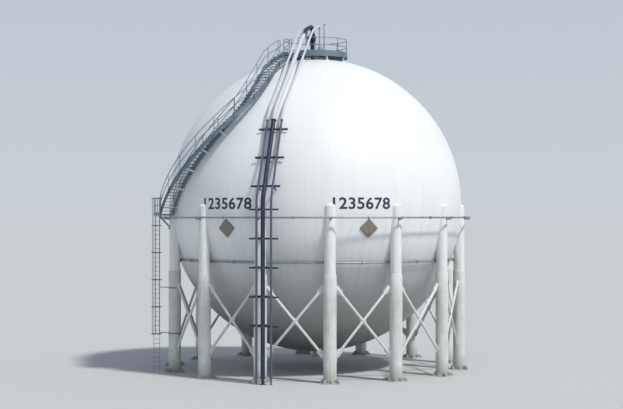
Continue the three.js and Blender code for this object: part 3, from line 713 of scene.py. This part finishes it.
# Water rings: pipe with couplings, nozzles that face the shell, and an arm at each leg
def make_ring(name, radius, z, arm_from, arm_to, nozzle_reach):
    pipe = begin_mesh(name + "_pipe")
    hoop(radius, ring_pipe, (0, 0, z), ball_segments, 14)
    coupling = ring_pipe * 1.75
    for i in range(leg_count):
        azimuth = first_leg + (i + 0.5) * bay
        half = heading_way(azimuth) * 0.013
        for offset in (-0.016, 0.016):
            middle = around_tank(azimuth + offset / radius, radius, z)
            tube(middle - half, middle + half, coupling, 20)
    settle(pipe, ring_zinc, [name])
    nozzles = begin_mesh(name + "_nozzles")
    start = first_leg + bay / 8
    tip = around_tank(start, radius - nozzle_reach, z + 0.05)
    tube(around_tank(start, radius, z + 0.02), tip, 0.014, 8)
    bpy.ops.mesh.primitive_cone_add(vertices=10, radius1=0.032, radius2=0.014, depth=0.06,
                                    location=tip, rotation=(math.radians(96), 0, start))
    bpy.ops.mesh.select_all(action="SELECT")
    repeat_around(4 * leg_count)
    settle(nozzles, ring_zinc)
    arms = begin_mesh(name + "_arms")
    block(-0.05, 0.05, -arm_from, -arm_to, z - 0.075, z - 0.06)
    block(-0.008, 0.008, -arm_from, -arm_to, z - 0.14, z - 0.07)
    near = arm_from if arm_from < arm_to else arm_from - 0.012
    block(-0.07, 0.07, -near - 0.012, -near, z - 0.16, z + 0.06)
    bpy.ops.mesh.select_all(action="SELECT")
    repeat_around(leg_count)
    settle(arms, ring_zinc, azimuth=first_leg)
    straps = begin_mesh(name + "_straps")
    hoop(ring_pipe + 0.008, 0.008, (0, -radius, z), 20, turn=(0, math.pi / 2, 0))
    repeat_around(leg_count)
    settle(straps, bolt_zinc, azimuth=first_leg)


# Riser pipes: three up beside a leg, over the shell, and down into the deck's well
slope_stand, slope_rise = 8.5, 5.93
drop_stand = 0.65
# Corners as distance from the axis and height, and how far before a corner each bend begins
riser_route = [(riser_stand, 0.4), (riser_stand, centre_z + riser_knee),
               (slope_stand, centre_z + slope_rise), (2.17, centre_z + 11.66),
               (drop_stand, centre_z + 12.1), (drop_stand, deck_z - 0.33)]
riser_bends = [0.4, 0.6, 0.5, 0.45]
riser_lean = math.atan((riser_stand - slope_stand) / (slope_rise - riser_knee))
# A joint is a flange so far before a corner of the route
knee_joint = (2, 0.75)
crest_joint = (3, 0.6)
joint_bolt = 0.018
bracket_spacing = 1.78
bracket_rises = [-0.35 - bracket_spacing * i for i in range(5)]
bracket_rises += [1.15 + bracket_spacing * i for i in range(3)]


def lean_into_place(pieces, x, reach, z, lean):
    """Moves pieces made about the origin to a point of the riser, and leans them inwards."""
    for piece in pieces:
        moved(piece, (x, -reach, z), (-lean, 0, 0))


def flange_bolts(radius, seats):
    """Rows of bolt heads over and under a pipe's joint; a seat is a height and the heads' way."""
    circle = radius * (1 + flange_share) / 2 + 0.004
    return [(12 if radius > 0.1 else 8, circle, joint_bolt, seat, way) for seat, way in seats]


def welded_flange(radius, way):
    """Half of a flanged joint about the Z axis, made from its face at the origin up or down."""
    flange = radius * flange_share
    return outward(begin_turned("flange", [
        [(flange - 0.012, 0.001), (flange - 0.012, 0.003)],
        [(flange, 0.003), (flange, 0.03), (radius + 0.014, 0.034), (radius + 0.002, 0.09)]],
        32, 0, 0, 0, way))


def make_riser(names, x, radius, joints, materials):
    """One riser as spools from the ground up: each is a pipe with a flange where it is joined."""
    route = [Vector((x, -reach, z)) for reach, z in riser_route]
    flange = radius * flange_share
    foot = begin_turned("riser_foot", [
        [(radius * 0.7, 0.02), (radius * 0.7, 0.4)],
        [(flange, 0), (flange, 0.024), (flange - 0.006, 0.03)],
        [(flange, 0.38), (flange, 0.417)],
        [(flange - 0.02, 0.417), (flange - 0.02, 0.423)],
        [(flange, 0.423), (flange, 0.46), (radius + 0.012, 0.47), (radius, 0.52)]],
        32, x, -riser_stand)
    for z in (4.6, 8.5):
        hoop(radius, 0.006, (x, -riser_stand, z), 32)
    fittings = [outward(foot)]
    bolts = [begin_bolts("foot_bolts", flange_bolts(radius, [(0.46, 1), (0.38, -1)]),
                         x, -riser_stand)]
    start, first = route[0], 1
    for name, material, (corner, distance) in zip(names, materials, [*joints, (len(route), 0)]):
        end, above = route[-1], []
        if corner < len(route):
            way = (route[corner] - route[corner - 1]).normalized()
            end = route[corner] - way * distance
            halves = [welded_flange(radius, -1), welded_flange(radius, 1),
                      begin_bolts("joint_bolts", flange_bolts(radius, [(0.03, 1), (-0.03, -1)]))]
            lean_into_place(halves, x, -end.y, end.z, math.atan2(way.y, way.z))
            fittings.append(halves[0])
            above.append(halves[1])
            bolts.append(halves[2])
        last = min(corner, len(route) - 1)
        path = rounded([start, *route[first:last], end], riser_bends[first - 1:last - 1], 10)
        pipe = swept(name, [path], radius)
        settle(joined(name + "_pipe", [pipe, *fittings]), material, [name], riser_azimuth)
        start, first, fittings = end, last, above
    return bolts


def make_crown_valve():
    """A gate valve on the main riser's drop: body, bonnet towards the front, stem and wheel."""
    low, high = centre_z + 10.95, centre_z + 11.55
    middle = (low + high) / 2
    y = -drop_stand
    wheel_y = -1.08
    flange = riser_main_pipe * flange_share
    half_body = [(flange, 0), (flange, 0.04), (0.15, 0.05), (0.15, 0.08), (0.24, 0.14), (0.26, 0.2)]
    other_half = [(radius, high - low - rise) for radius, rise in half_body[::-1]]
    body = begin_turned("valve_body", [half_body + other_half], 40, 0, y, low)
    for near, far, radius in ((y, -0.955, 0.15), (-0.955, -0.98, 0.19), (-0.983, -1.008, 0.19),
                              (-1.008, -1.045, 0.085)):
        tube((0, near, middle), (0, far, middle), radius, 36)
    outward(body)
    wheel = begin_mesh("valve_wheel")
    tube((0, -1.04, middle), (0, -1.1, middle), 0.022, 16)
    tube((0, -1.065, middle), (0, -1.095, middle), 0.04, 20)
    hoop(0.186, 0.014, (0, wheel_y, middle), 40, 8, (math.pi / 2, 0, 0))
    deselect()
    tube((0.03, wheel_y, middle), (0.18, wheel_y, middle), 0.01, 10)
    repeat_around(5, (0, wheel_y, middle), (0, 1, 0))
    bolts = begin_bolts("valve_bolts", [(12, 0.165, joint_bolt, seat, way) for seat, way in
                                        ((low, -1), (low + 0.045, 1), (high - 0.045, -1),
                                         (high, 1))], 0, y)
    for near, far in ((-0.942, -0.955), (-1.008, -1.021)):
        deselect()
        tube((0.17, near, middle), (0.17, far, middle), 0.015, 6)
        repeat_around(10, (0, y, middle), (0, 1, 0))
    settle(joined("crown_valve_body", [body, wheel]), riser_navy, ["riser_crown_valve"],
           riser_azimuth)
    return bolts


def make_risers():
    bolts = make_riser(["riser_main", "riser_main_slope", "riser_crown_valve"], 0, riser_main_pipe,
                       [knee_joint, crest_joint], [riser_navy, nozzle_white, riser_navy])
    for side, x in zip(("left", "right"), riser_side_places):
        bolts += make_riser([f"riser_{side}", f"riser_{side}_slope"], x, riser_side_pipe,
                            [knee_joint], [riser_slate, nozzle_white])
    bolts.append(make_crown_valve())
    settle(joined("riser_flange_bolts", bolts), bolt_zinc, azimuth=riser_azimuth)


def make_riser_brackets():
    """Angle bars behind the pipes, with arms back to a band round the leg or towards the shell, and
    clips round the pipes."""
    front = riser_main_pipe + 0.006
    back = front + 0.09
    bar_half = 0.95
    leg_turn = first_leg - bay - riser_azimuth
    leg_x, leg_y = leg_circle * math.sin(leg_turn), riser_stand - leg_circle * math.cos(leg_turn)
    bars, clips = [], []
    for rise in bracket_rises:
        over_knee = rise > riser_knee
        lean = riser_lean if over_knee else 0.0
        reach = riser_stand - max(rise - riser_knee, 0) * math.tan(lean)
        bracket = begin_mesh("riser_bracket")
        block(-bar_half, bar_half, front, front + 0.008, -0.05, 0.05)
        block(-bar_half, bar_half, front, back, -0.05, -0.042)
        arms, arm_end = (-0.5, 0.5), back + 0.88
        if not over_knee:
            sleeve = concrete_radius if centre_z + rise < concrete_top else leg_radius
            arms, arm_end = (leg_x,), leg_y - sleeve + 0.03
            tube((leg_x, leg_y, -0.06), (leg_x, leg_y, 0.06), sleeve + 0.012, 40)
        for x in arms:
            block(x - 0.05, x + 0.05, front, arm_end, -0.042, -0.03)
            block(x - 0.006, x + 0.006, front, arm_end, -0.03, 0.04)
        clip = begin_mesh("riser_clip")
        for x in (0, *riser_side_places):
            eye = (riser_side_pipe if x else riser_main_pipe) + 0.009
            hoop(eye, 0.009, (x, 0, 0), 24)
            for leg in (x - eye, x + eye):
                tube((leg, 0, 0), (leg, front + 0.02, 0), 0.009, 6)
        lean_into_place((bracket, clip), 0, reach, centre_z + rise, lean)
        bars.append(bracket)
        clips.append(clip)
    settle(joined("riser_brackets", bars), riser_navy, azimuth=riser_azimuth)
    settle(joined("riser_clips", clips), bolt_zinc, azimuth=riser_azimuth)


# Stair: round the shell at one pitch, then in a straight run to the deck
def pitched_azimuth(rise):
    """Where a line at the stair's pitch has come to at a height over the tank's middle."""
    plan = math.sqrt(stair_radius ** 2 - rise ** 2)
    sine, cosine = math.sin(stair_pitch), math.cos(stair_pitch)
    if rise >= stair_radius * cosine:
        return run_azimuth - math.asin(run_offset / plan)

    def swing(value):
        left = math.sqrt(max(cosine ** 2 - value ** 2, 1e-12))
        return (math.asin(min(value / cosine, 1)) - sine * math.atan(sine * value / left)) / sine

    return pitched_azimuth(stair_radius * cosine) - swing(cosine) + swing(rise / stair_radius)


def stair_point(rise):
    easing = min(bend_easing, deck_rise - rise)
    azimuth = sum(pitched_azimuth(rise + share * easing) for share in (-1, -0.5, 0, 0.5, 1)) / 5
    return around_tank(azimuth, math.sqrt(stair_radius ** 2 - rise ** 2), centre_z + rise)


stair_bottom = landing_floor - centre_z
stair_steps = stair_segments * risers_per_segment
step_rise = (deck_rise - stair_bottom) / stair_steps
stair_line = [stair_point(stair_bottom + i * step_rise) for i in range(stair_steps + 1)]


def step_heading(i):
    way = stair_line[min(i + 1, stair_steps)] - stair_line[max(i - 1, 0)]
    return math.atan2(way.y, way.x)


def beside_stair(i, side, lift):
    """A point left or right of the stair's middle line at a step, so high above its nosing line."""
    heading = step_heading(i)
    return stair_line[i] + Vector((-math.sin(heading) * side, math.cos(heading) * side, lift))


def stringer(side):
    """A channel that follows the stair: its web beside the treads, its two flanges outwards."""
    web, flange, low, high = 0.008, 0.06, -0.2, 0.06
    sheet = 0.01
    section = bpy.data.curves.new("channel", "CURVE")
    section.dimensions = "2D"
    polyline(section, [(side * x, y, 0) for x, y in
                       ((0, low), (flange, low), (flange, low + sheet), (web, low + sheet),
                        (web, high - sheet), (flange, high - sheet), (flange, high), (0, high))],
             closed=True)
    channel = placed("channel", section)
    path = bpy.data.curves.new("stringer", "CURVE")
    path.dimensions = "3D"
    path.twist_mode = "Z_UP"
    path.bevel_mode = "OBJECT"
    path.bevel_object = channel
    path.use_fill_caps = True
    polyline(path, [beside_stair(i, -side * stair_half, 0) for i in range(stair_steps + 1)])
    placed("stringer", path)
    bpy.ops.object.convert(target="MESH")
    bpy.data.objects.remove(channel)
    return outward(bpy.context.active_object)


def make_stair():
    """Stringers, treads of bar grating, and struts with pads on the shell."""
    settle(joined("stair_stringers", [stringer(1), stringer(-1)]), stair_zinc,
           ["stair_flight_1", "stair_flight_2", "stair_flight_3"])
    half = stair_half - 0.004
    depth = 0.21
    bar = 0.003
    tread = begin_mesh("tread")
    block(-0.012, 0.012, -half, half, -0.04, 0)
    for i in range(1, 7):
        block(depth * i / 6 - bar, depth * i / 6 + bar, -half, half, -0.034, -0.002)
    for y in (-half, half):
        block(-0.01, depth + 0.01, y - bar, y + bar, -0.06, 0)
    for y in (-0.25, -0.125, 0, 0.125, 0.25):
        block(0.01, depth, y - bar, y + bar, -0.012, -0.003)
    spots = []
    for here, after in zip(stair_line, stair_line[1:]):
        spots.append((here + up * step_rise, math.atan2(after.y - here.y, after.x - here.x)))
    settle(scattered("stair_treads", tread, spots), stair_zinc)
    struts = begin_mesh("stair_struts")
    centre = up * centre_z
    for i in range(risers_per_segment, stair_steps, 2 * risers_per_segment):
        middle = stair_line[i] - up * 0.175
        slab(middle, (0.07, 2 * stair_half, 0.07), (0, 0, step_heading(i)))
        out = (middle - centre).normalized()
        pad = centre + out * (shell_radius + 0.004)
        tube(middle, centre + out * (shell_radius - 0.01), 0.05, 20)
        tube(centre + out * (shell_radius - 0.012), pad, 0.15, 32)
        tube(pad, centre + out * (shell_radius + 0.03), 0.065, 20)
    settle(outward(struts), leg_white)


def rail_loop(top, knee):
    """A railing's closed path: along its top rail, round its end, and back along its knee rail."""
    bend = [0.1, 0.1]
    first = rounded([top[1], top[0], knee[0], knee[1]], bend, 4)
    final = rounded([top[-2], top[-1], knee[-1], knee[-2]], bend, 4)
    return first[::-1] + top[2:-2] + final + knee[-3:1:-1] + [first[-1]]


def make_stair_rails():
    for side, name in ((1, "stair_handrail_left"), (-1, "stair_handrail_right")):
        offset = side * (stair_half + 0.03 + 0.023)
        loop = rail_loop(*[[beside_stair(i, offset, lift) for i in range(1, stair_steps)]
                           for lift in (rail_top, knee_height)])
        rails = swept(name + "_rails", [loop], rail_pipe, 4)
        posts = begin_mesh(name + "_posts")
        for segment in (*range(0, stair_segments, 2), stair_segments - 1):
            low = segment * risers_per_segment + 1
            foot = (beside_stair(low, offset, 0) + beside_stair(low + 1, offset, 0)) / 2
            tube(foot - up * 0.14, foot + up * rail_top, 0.021, 14)
            slab(foot - up * 0.07, (0.09, 0.05, 0.16), (0, 0, step_heading(low + 1)))
        settle(joined(name + "_rails", [rails, posts]), stair_zinc, [name])


# Landing and ladder
def bar_grating(x0, x1, y0, y1, top, inside=None):
    """Bearing bars along X with rods across them; inside(y) gives the stretches that are floor."""
    bar = 0.003
    count = round((y1 - y0) / bar_spacing)
    for i in range(count + 1):
        y = y0 + (y1 - y0) * i / count
        for start, end in (inside(y) if inside else [(x0, x1)]):
            block(start, end, y - bar, y + bar, top - 0.035, top - 0.002)
    count = round((x1 - x0) / rod_spacing)
    for i in range(1, count):
        x = x0 + (x1 - x0) * i / count
        for start, end in (inside(x) if inside else [(y0, y1)]):
            block(x - bar, x + bar, start, end, top - 0.012, top - 0.001)


def make_landing():
    """Edge channels, joists, toe plate and grating, on a raking strut from the leg."""
    half, top, low = landing_half, landing_floor, landing_floor - landing_thickness
    front, back = -landing_outer, -landing_inner - 0.004
    plate = 0.008
    grating = begin_mesh("stair_landing_grating")
    for y in (front, back - plate):
        block(-half, half, y, y + plate, low, top)
    for y in (front + plate, back - plate - 0.05):
        block(-half, half, y, y + 0.05, low, low + plate)
    for side in (-1, 1):
        block(side * half, side * (half - plate), front, back, low, top)
    for x in (-0.5, 0, 0.5):
        block(x - 0.005, x + 0.005, front, back, low, top - grating_depth)
    block(-half, half, front, front + 0.006, top, top + 0.1)
    tube((0, -leg_circle - 0.2, 9.39), (0, front + 0.12, low + 0.04), 0.055, 20)
    tube((0, -leg_circle - 0.33, 9.46), (0, -leg_circle - 0.37, 9.5), 0.12, 24)
    tube((0, -leg_circle - leg_radius + 0.02, top - 0.06), (0, back, top - 0.06), 0.05, 16)
    bar_grating(0.01 - half, half - 0.01, front + 0.01, back - 0.01, top)
    settle(grating, stair_zinc, ["stair_landing"], landing_azimuth)
    reach = half - 0.046
    y = front + 0.046
    rails = swept("landing_rails", [[(-reach, y, top + lift), (reach, y, top + lift)]
                                    for lift in (rail_top, knee_height)], rail_pipe, 4)
    posts = begin_mesh("landing_posts")
    for x in (-reach, 0, reach):
        tube((x, y, top), (x, y, top + rail_height - 0.003), 0.023, 16)
        block(x - 0.045, x + 0.045, y - 0.04, y + 0.04, top, top + 0.01)
    settle(joined("landing_railing_pipes", [rails, posts]), stair_zinc, ["landing_railing"],
           landing_azimuth)


def make_ladder():
    """Stiles and rungs with stays to the leg, and a cage of hoops and straps behind the climber."""
    front = -landing_half - 0.0003
    back = front - 0.06
    x = (front + back) / 2
    top = landing_floor + rail_height
    stay_y = ladder_y + ladder_half
    ladder = begin_mesh("access_ladder_rungs")
    for y in (ladder_y - ladder_half, stay_y):
        block(back, front, y - 0.01, y + 0.01, 0, top)
    for i in range(1, int(landing_floor / rung_spacing) + 1):
        z = i * rung_spacing
        tube((x, ladder_y - ladder_half, z), (x, stay_y, z), 0.013, 10)
    for z in (2.55, 5.55):
        way = Vector((-x, -leg_circle - stay_y, 0)).normalized()
        tube((x, stay_y, z), Vector((0, -leg_circle, z)) - way * concrete_radius, 0.027, 14)
        tube((0, -leg_circle, z - 0.05), (0, -leg_circle, z + 0.05), concrete_radius + 0.01,
             leg_sides)
    settle(ladder, stair_zinc, ["access_ladder"], landing_azimuth)
    radius = 0.349
    band = 0.06
    low, high = 2.4, top - 0.07
    middle = Vector((back - 0.02, ladder_y, 0))
    cage_hoop = begin_mesh("cage_hoop")
    bpy.ops.mesh.primitive_cylinder_add(vertices=48, radius=radius, depth=band,
                                        end_fill_type="NOTHING")
    cut_off((0, 0, 0), (1, 0, 0), "outer")
    walled(cage_hoop, 0.008)
    bpy.ops.object.mode_set(mode="EDIT")
    for side in (-1, 1):
        block(-0.006, 0.002, side * (ladder_half + 0.01), side * radius, -band / 2, band / 2)
    spots = [(middle + up * (low + band / 2 + (high - low) * i / 5), 0) for i in range(6)]
    hoops = scattered("cage_hoops", cage_hoop, spots)
    straps = begin_mesh("cage_straps")
    for share in (1 / 4, 1 / 2, 3 / 4):
        turn = math.pi / 2 + math.pi * share
        slab(middle + up * (low + high + band) / 2 + heading_way(turn) * (radius - 0.012),
             (0.008, 0.05, high + band - low), (0, 0, turn))
    settle(joined("ladder_cage_bands", [hoops, straps]), stair_zinc, ["ladder_cage"],
           landing_azimuth)


# Top deck
def deck_stretches(across):
    """The floor along a line so far from the deck's middle: the disc without its well."""
    outer, inner = [math.sqrt(max(radius ** 2 - across ** 2, 0))
                    for radius in (deck_radius - rim_clear, well_radius + rim_clear)]
    if not outer:
        return []
    return [(-outer, -inner), (inner, outer)] if inner else [(-outer, outer)]


def edge_to_circle(side, radius):
    """Where an edge of the stair meets a circle round the deck, and how far past its top."""
    way = heading_way(step_heading(stair_steps)).to_2d()
    edge = stair_line[-1].to_2d() + Vector((-way.y, way.x)) * side
    nearest = edge.dot(way)
    along = -nearest - math.sqrt(nearest ** 2 - edge.length_squared + radius ** 2)
    return along, edge + way * along


def doorway_turn(side):
    """How far round the deck its railing ends, on one side of the stair."""
    meet = edge_to_circle(side * (stair_half + 0.05), deck_rail_radius)[1]
    return math.atan2(meet.x, -meet.y)


def rim(radius):
    """A band as deep as the deck, bent to a circle."""
    band = begin_mesh("rim")
    bpy.ops.mesh.primitive_cylinder_add(vertices=96, radius=radius, depth=deck_thickness,
                                        end_fill_type="NOTHING",
                                        location=(0, 0, deck_z - deck_thickness / 2))
    return walled(band, 0.01)


def make_top_deck():
    """A rim outside and round the well, joists between them, grating, a tongue of floor to the
    stair, and posts with pads on the crown."""
    low = deck_z - deck_thickness
    rims = [rim(deck_radius), rim(well_radius + 0.01)]
    grating = begin_mesh("deck_grating")
    bar_grating(-deck_radius, deck_radius, -deck_radius, deck_radius, deck_z, deck_stretches)
    span = deck_radius - well_radius - 0.02
    for i in range(16):
        turn = math.tau * i / 16
        middle = around_tank(turn, (deck_radius + well_radius) / 2, deck_z - grating_depth)
        for drop, width, depth in ((0.08, 0.008, 0.16), (0.004, 0.07, 0.008), (0.156, 0.07, 0.008)):
            slab(middle - up * drop, (width, span, depth), (0, 0, turn))
    top = stair_line[-1]
    turn = (0, 0, step_heading(stair_steps))
    way = heading_way(turn[2])
    reaches = [edge_to_circle(side * stair_half, deck_radius)[0] for side in (-1, 1)]
    for i in range(math.ceil(max(reaches) / bar_spacing)):
        slab(top + way * (0.01 + bar_spacing * i) - up * 0.019,
             (0.006, 2 * stair_half, 0.034), turn)
    for side, reach in zip((-1, 1), reaches):
        across = Vector((-way.y, way.x, 0)) * side * (stair_half + 0.004)
        slab(top + way * reach / 2 + across - up * deck_thickness / 2,
             (reach, 0.008, deck_thickness), turn)
    settle(joined("top_deck_grating", [*rims, grating]), stair_zinc, ["top_deck"])
    posts = begin_mesh("top_deck_posts")
    reach = deck_radius - 0.15
    foot = centre_z + math.sqrt(shell_radius ** 2 - reach ** 2)
    for i in range(8):
        place = around_tank(math.radians(45 * i + 22.5), reach)
        turned([(0.14, -0.03), (0.14, 0.02)], 28, place.x, place.y, foot)
        turned([(0.06, foot), (0.06, low)], 24, place.x, place.y)
    settle(outward(posts), leg_white)


def make_deck_railing():
    """Two rails and a toe plate from one side of the doorway round to the other, on posts."""
    start, end = doorway_turn(-1), doorway_turn(1) + math.tau
    steps = 72
    loop = rail_loop(*[[around_tank(start + (end - start) * i / steps, deck_rail_radius,
                                    deck_z + lift) for i in range(steps + 1)]
                       for lift in (rail_top, knee_height)])
    rails = swept("deck_rails", [loop], rail_pipe, 4)
    posts = begin_mesh("deck_rail_posts")
    for i in range(7):
        place = around_tank(math.tau * i / 8, deck_rail_radius, deck_z)
        tube(place, place + up * rail_top, 0.022, 16)
        turned([(0.05, 0), (0.05, 0.012)], 20, place.x, place.y, deck_z)
    toe = begin_mesh("deck_toe_plate")
    toe_radius = deck_rail_radius + 0.03
    toe_pieces = 64
    piece_turn = (end - start - 0.04) / toe_pieces
    size = (2 * toe_radius * math.sin(piece_turn / 2) + 0.002, 0.006, toe_height)
    for i in range(toe_pieces):
        turn = start + 0.02 + piece_turn * (i + 0.5)
        slab(around_tank(turn, toe_radius, deck_z + toe_height / 2), size, (0, 0, turn))
    settle(joined("top_deck_railing_pipes", [rails, posts, toe]), stair_zinc,
           ["top_deck_railing"])


# Fittings on the two crowns
def make_manway(name, x, y, joint, way):
    """A flanged neck with a blind cover and two lift handles, up or down from its joint."""
    start = way * (centre_z - joint) + shell_radius
    cover = 0.055
    flange = 0.375
    neck = begin_turned(name + "_flanges", [
        [(0.305, start - 0.3), (0.305, -0.075), (0.33, -0.055), (flange, -0.055), (flange, -0.002)],
        [(0.34, -0.004), (0.34, 0.004)],
        [(flange, 0.002), (flange, cover - 0.004), (0.371, cover)],
        [(0.33, start - 0.2), (0.33, start + 0.015)]], 48, x, y, joint, way)
    top = joint + way * cover
    for grip in (x - 0.17, x + 0.17):
        block(grip - 0.01, grip + 0.01, y - 0.07, y + 0.07, top, top + way * 0.045)
    settle(outward(neck), nozzle_white, [name])
    rows = [(20, 0.345, 0.02, top, way), (20, 0.345, 0.02, joint - way * 0.055, -way)]
    settle(begin_bolts(name + "_bolts", rows, x, y), bolt_zinc)


def make_relief_valve(name, x, y, turn):
    """A spring relief valve on its neck, its bonnet and lever, and a vent stack beside it under
    a rain cap."""
    base = centre_z + shell_radius
    out = heading_way(turn)
    body = begin_turned(name + "_body", [
        [(0.11, -0.1), (0.11, 0.2), (0.18, 0.21), (0.18, 0.252)],
        [(0.18, 0.258), (0.18, 0.3), (0.12, 0.33), (0.105, 0.42), (0.12, 0.5), (0.12, 0.66),
         (0.11, 0.72), (0.15, 0.74), (0.15, 0.82), (0.1, 0.84), (0.085, 1.02), (0.07, 1.06)]],
        36, x, y, base)
    settle(outward(body), valve_grey, [name])
    bonnet = begin_turned(name + "_bonnet", [[(0.055, 1.05), (0.055, 1.2), (0.048, 1.25)]],
                          28, x, y, base)
    tube((x, y, base + 1.12), (x - 0.11, y + 0.05, base + 1.14), 0.012, 10)
    settle(outward(bonnet), riser_navy)
    branch = Vector((x, y, base + 0.56))
    elbow = branch + out * 0.33
    stack = rounded([branch, elbow, elbow + up * 1.8], [0.13], 10)
    outlet = swept(name + "_outlet", [stack], 0.075)
    collar = begin_mesh(name + "_collar")
    for near, far in ((0.15, 0.172), (0.175, 0.197)):
        tube(branch + out * near, branch + out * far, 0.12, 28)
    turned([(0.09, 0.95), (0.09, 0.975)], 28, elbow.x, elbow.y, base)
    settle(joined(name + "_stack", [outlet, collar]), nozzle_white)
    cap = begin_turned(name + "_rain_cap", [[(0.09, 2.36), (0.09, 2.385), (0.03, 2.4)]],
                       28, elbow.x, elbow.y, base)
    settle(outward(cap), dark_cap)
    rows = [(8, 0.15, 0.02, base + 0.3, 1), (8, 0.15, 0.02, base + 0.21, -1),
            (8, 0.135, 0.016, base + 0.82, 1)]
    settle(begin_bolts(name + "_bolts", rows, x, y), bolt_zinc)


def make_bottom_nozzle():
    """A flanged neck down from the shell, with a blind cover."""
    low = centre_z - shell_radius
    nozzle = begin_turned("bottom_nozzle_flanges", [
        [(0.16, -0.1), (0.16, 0.3), (0.19, 0.33), (0.25, 0.33), (0.25, 0.373)],
        [(0.23, 0.37), (0.23, 0.38)],
        [(0.25, 0.377), (0.25, 0.416), (0.246, 0.42)],
        [(0.26, -0.05), (0.26, 0.018)]], 40, 0, 0, low, -1)
    settle(outward(nozzle), nozzle_white, ["bottom_nozzle"])
    rows = [(12, 0.215, 0.021, low - 0.42, -1), (12, 0.215, 0.021, low - 0.33, 1)]
    settle(begin_bolts("bottom_nozzle_bolts", rows), bolt_zinc)


# Markings: plain digits painted on the shell, and a blank plate on its corner below them
def make_marking(name, azimuth):
    """The digits are cut in strips, so that they can bend to the shell and lie on it."""
    strip = 0.1
    rows, columns = 4, 21
    bpy.ops.object.select_all(action="DESELECT")
    bpy.ops.object.text_add()
    text = bpy.context.active_object.data
    text.body = "1235678"
    text.align_x = text.align_y = "CENTER"
    text.size = 0.98
    text.space_character = 1.05
    text.offset = 0.02
    bpy.ops.object.convert(target="MESH")
    digits = bpy.context.active_object
    digits.name = name + "_digits"
    digits.scale.x = 1.1
    moved(digits, (0, -shell_radius - 0.3, centre_z), (math.pi / 2, 0, 0))
    bpy.ops.object.mode_set(mode="EDIT")
    for i in range(-rows, rows + 1):
        cut_off((0, 0, centre_z + strip * i), up, None)
    for i in range(-columns, columns + 1):
        cut_off((strip * i, 0, 0), (1, 0, 0), None)
    only(digits)
    ball(shell_radius + 0.007)
    shell = bpy.context.active_object
    finished(digits, "SHRINKWRAP", target=shell, wrap_method="PROJECT", use_project_y=True,
             use_positive_direction=True)
    bpy.data.objects.remove(shell)
    settle(digits, marking_navy, azimuth=azimuth)


def make_sign(name, azimuth):
    """A blank square plate on its corner, with a raised face, on four studs. It leans as the
    shell does there."""
    tilt = math.asin(0.152)
    half = 0.6
    across = Vector((1, 0, 0))
    out = Vector((0, -math.cos(tilt), -math.sin(tilt)))
    upward = Vector((0, -math.sin(tilt), math.cos(tilt)))
    middle = up * centre_z + out * (shell_radius + 0.045)
    for part, lift, radius, depth, paint in (("plate", 0, half, 0.006, plate_edge),
                                             ("face", 0.004, half - 0.045, 0.003, plate_face)):
        panel = begin_mesh(f"{name}_{part}")
        bpy.ops.mesh.primitive_cylinder_add(vertices=4, radius=radius, depth=depth,
                                            location=middle + out * lift,
                                            rotation=(math.pi / 2 + tilt, 0, 0))
        settle(bevelled(outward(panel), depth / 4), paint, azimuth=azimuth)
    studs = begin_mesh(name + "_studs")
    for way in (-across, upward, across, -upward):
        foot = middle + way * half * 0.8
        tube(foot - out * 0.06, foot + out * 0.012, 0.016, 10)
    settle(studs, bolt_zinc, azimuth=azimuth)


make_shell()
make_weld_seams()
stand_round("leg", 0, [(make_leg_steel(), "_pipe", leg_white, True),
                       (make_leg_concrete(), "_concrete", concrete, True),
                       (make_leg_base(), "_base", concrete, True),
                       (make_anchor_bolts(), "_anchor_bolts", bolt_zinc, False)])
make_braces()
make_ring("upper_deluge_ring", upper_ring_radius, upper_ring_z, landing_inner,
          upper_ring_radius, 0.22)
make_ring("lower_deluge_ring", lower_ring_radius, lower_ring_z, leg_circle - leg_radius,
          lower_ring_radius - 0.02, 0.075)
make_risers()
make_riser_brackets()
make_stair()
make_stair_rails()
make_landing()
make_ladder()
make_top_deck()
make_deck_railing()
make_manway("top_manway", -0.33, 0.33, centre_z + shell_radius + 0.365, 1)
make_manway("bottom_manway", 0.9, 0.9, centre_z - shell_radius - 0.245, -1)
make_relief_valve("relief_valve_1", 0.33, -0.18, math.radians(20))
make_relief_valve("relief_valve_2", 0.33, 0.44, math.radians(-20))
make_bottom_nozzle()
for number, text_azimuth, sign_azimuth in ((1, -35.0, -34.5), (2, 16.44, 19.5)):
    make_marking(f"shell_marking_{number}", math.radians(text_azimuth))
    make_sign(f"shell_sign_{number}", math.radians(sign_azimuth))

# A pale floor, which lights the under side a little
bpy.ops.object.select_all(action="DESELECT")
bpy.ops.mesh.primitive_circle_add(vertices=96, radius=1500, fill_type="NGON",
                                  location=(axis_x, axis_y, 0))
floor = bpy.context.active_object
floor.name = "floor"
floor_paint, _, floor_shader, _ = new_material("pale_floor")
feed(floor_shader, {"Base Color": colour("bcbdbc"), "Roughness": 0.9})
floor.data.materials.append(floor_paint)

# A hazy sky: bright and bluish all round, so that shadows stay light, and the sun gives the shape
world = bpy.data.worlds.new("hazy_sky")
world.use_nodes = True
sky = world.node_tree
height_up = add(sky, "SeparateXYZ", [add(sky, "TexCoord").outputs["Generated"]]).outputs["Z"]
glow = add(sky, "ValToRGB", [height_up], [(0.0, (0.58, 0.62, 0.66, 1)), (0.2, (0.5, 0.56, 0.64, 1)),
                                          (0.55, (0.34, 0.4, 0.48, 1))])
feed(sky.nodes["Background"], {"Color": glow})
bpy.context.scene.world = world
bpy.context.scene.view_settings.view_transform = "Standard"

sun_data = bpy.data.lights.new("sun", "SUN")
sun_data.energy = 3.0
sun_data.angle = math.radians(6)
sun_data.color = (1.0, 0.98, 0.95)
sun = placed("sun", sun_data)
sun.rotation_euler = Vector((0.433, -0.372, 0.82)).to_track_quat("Z", "Y").to_euler()
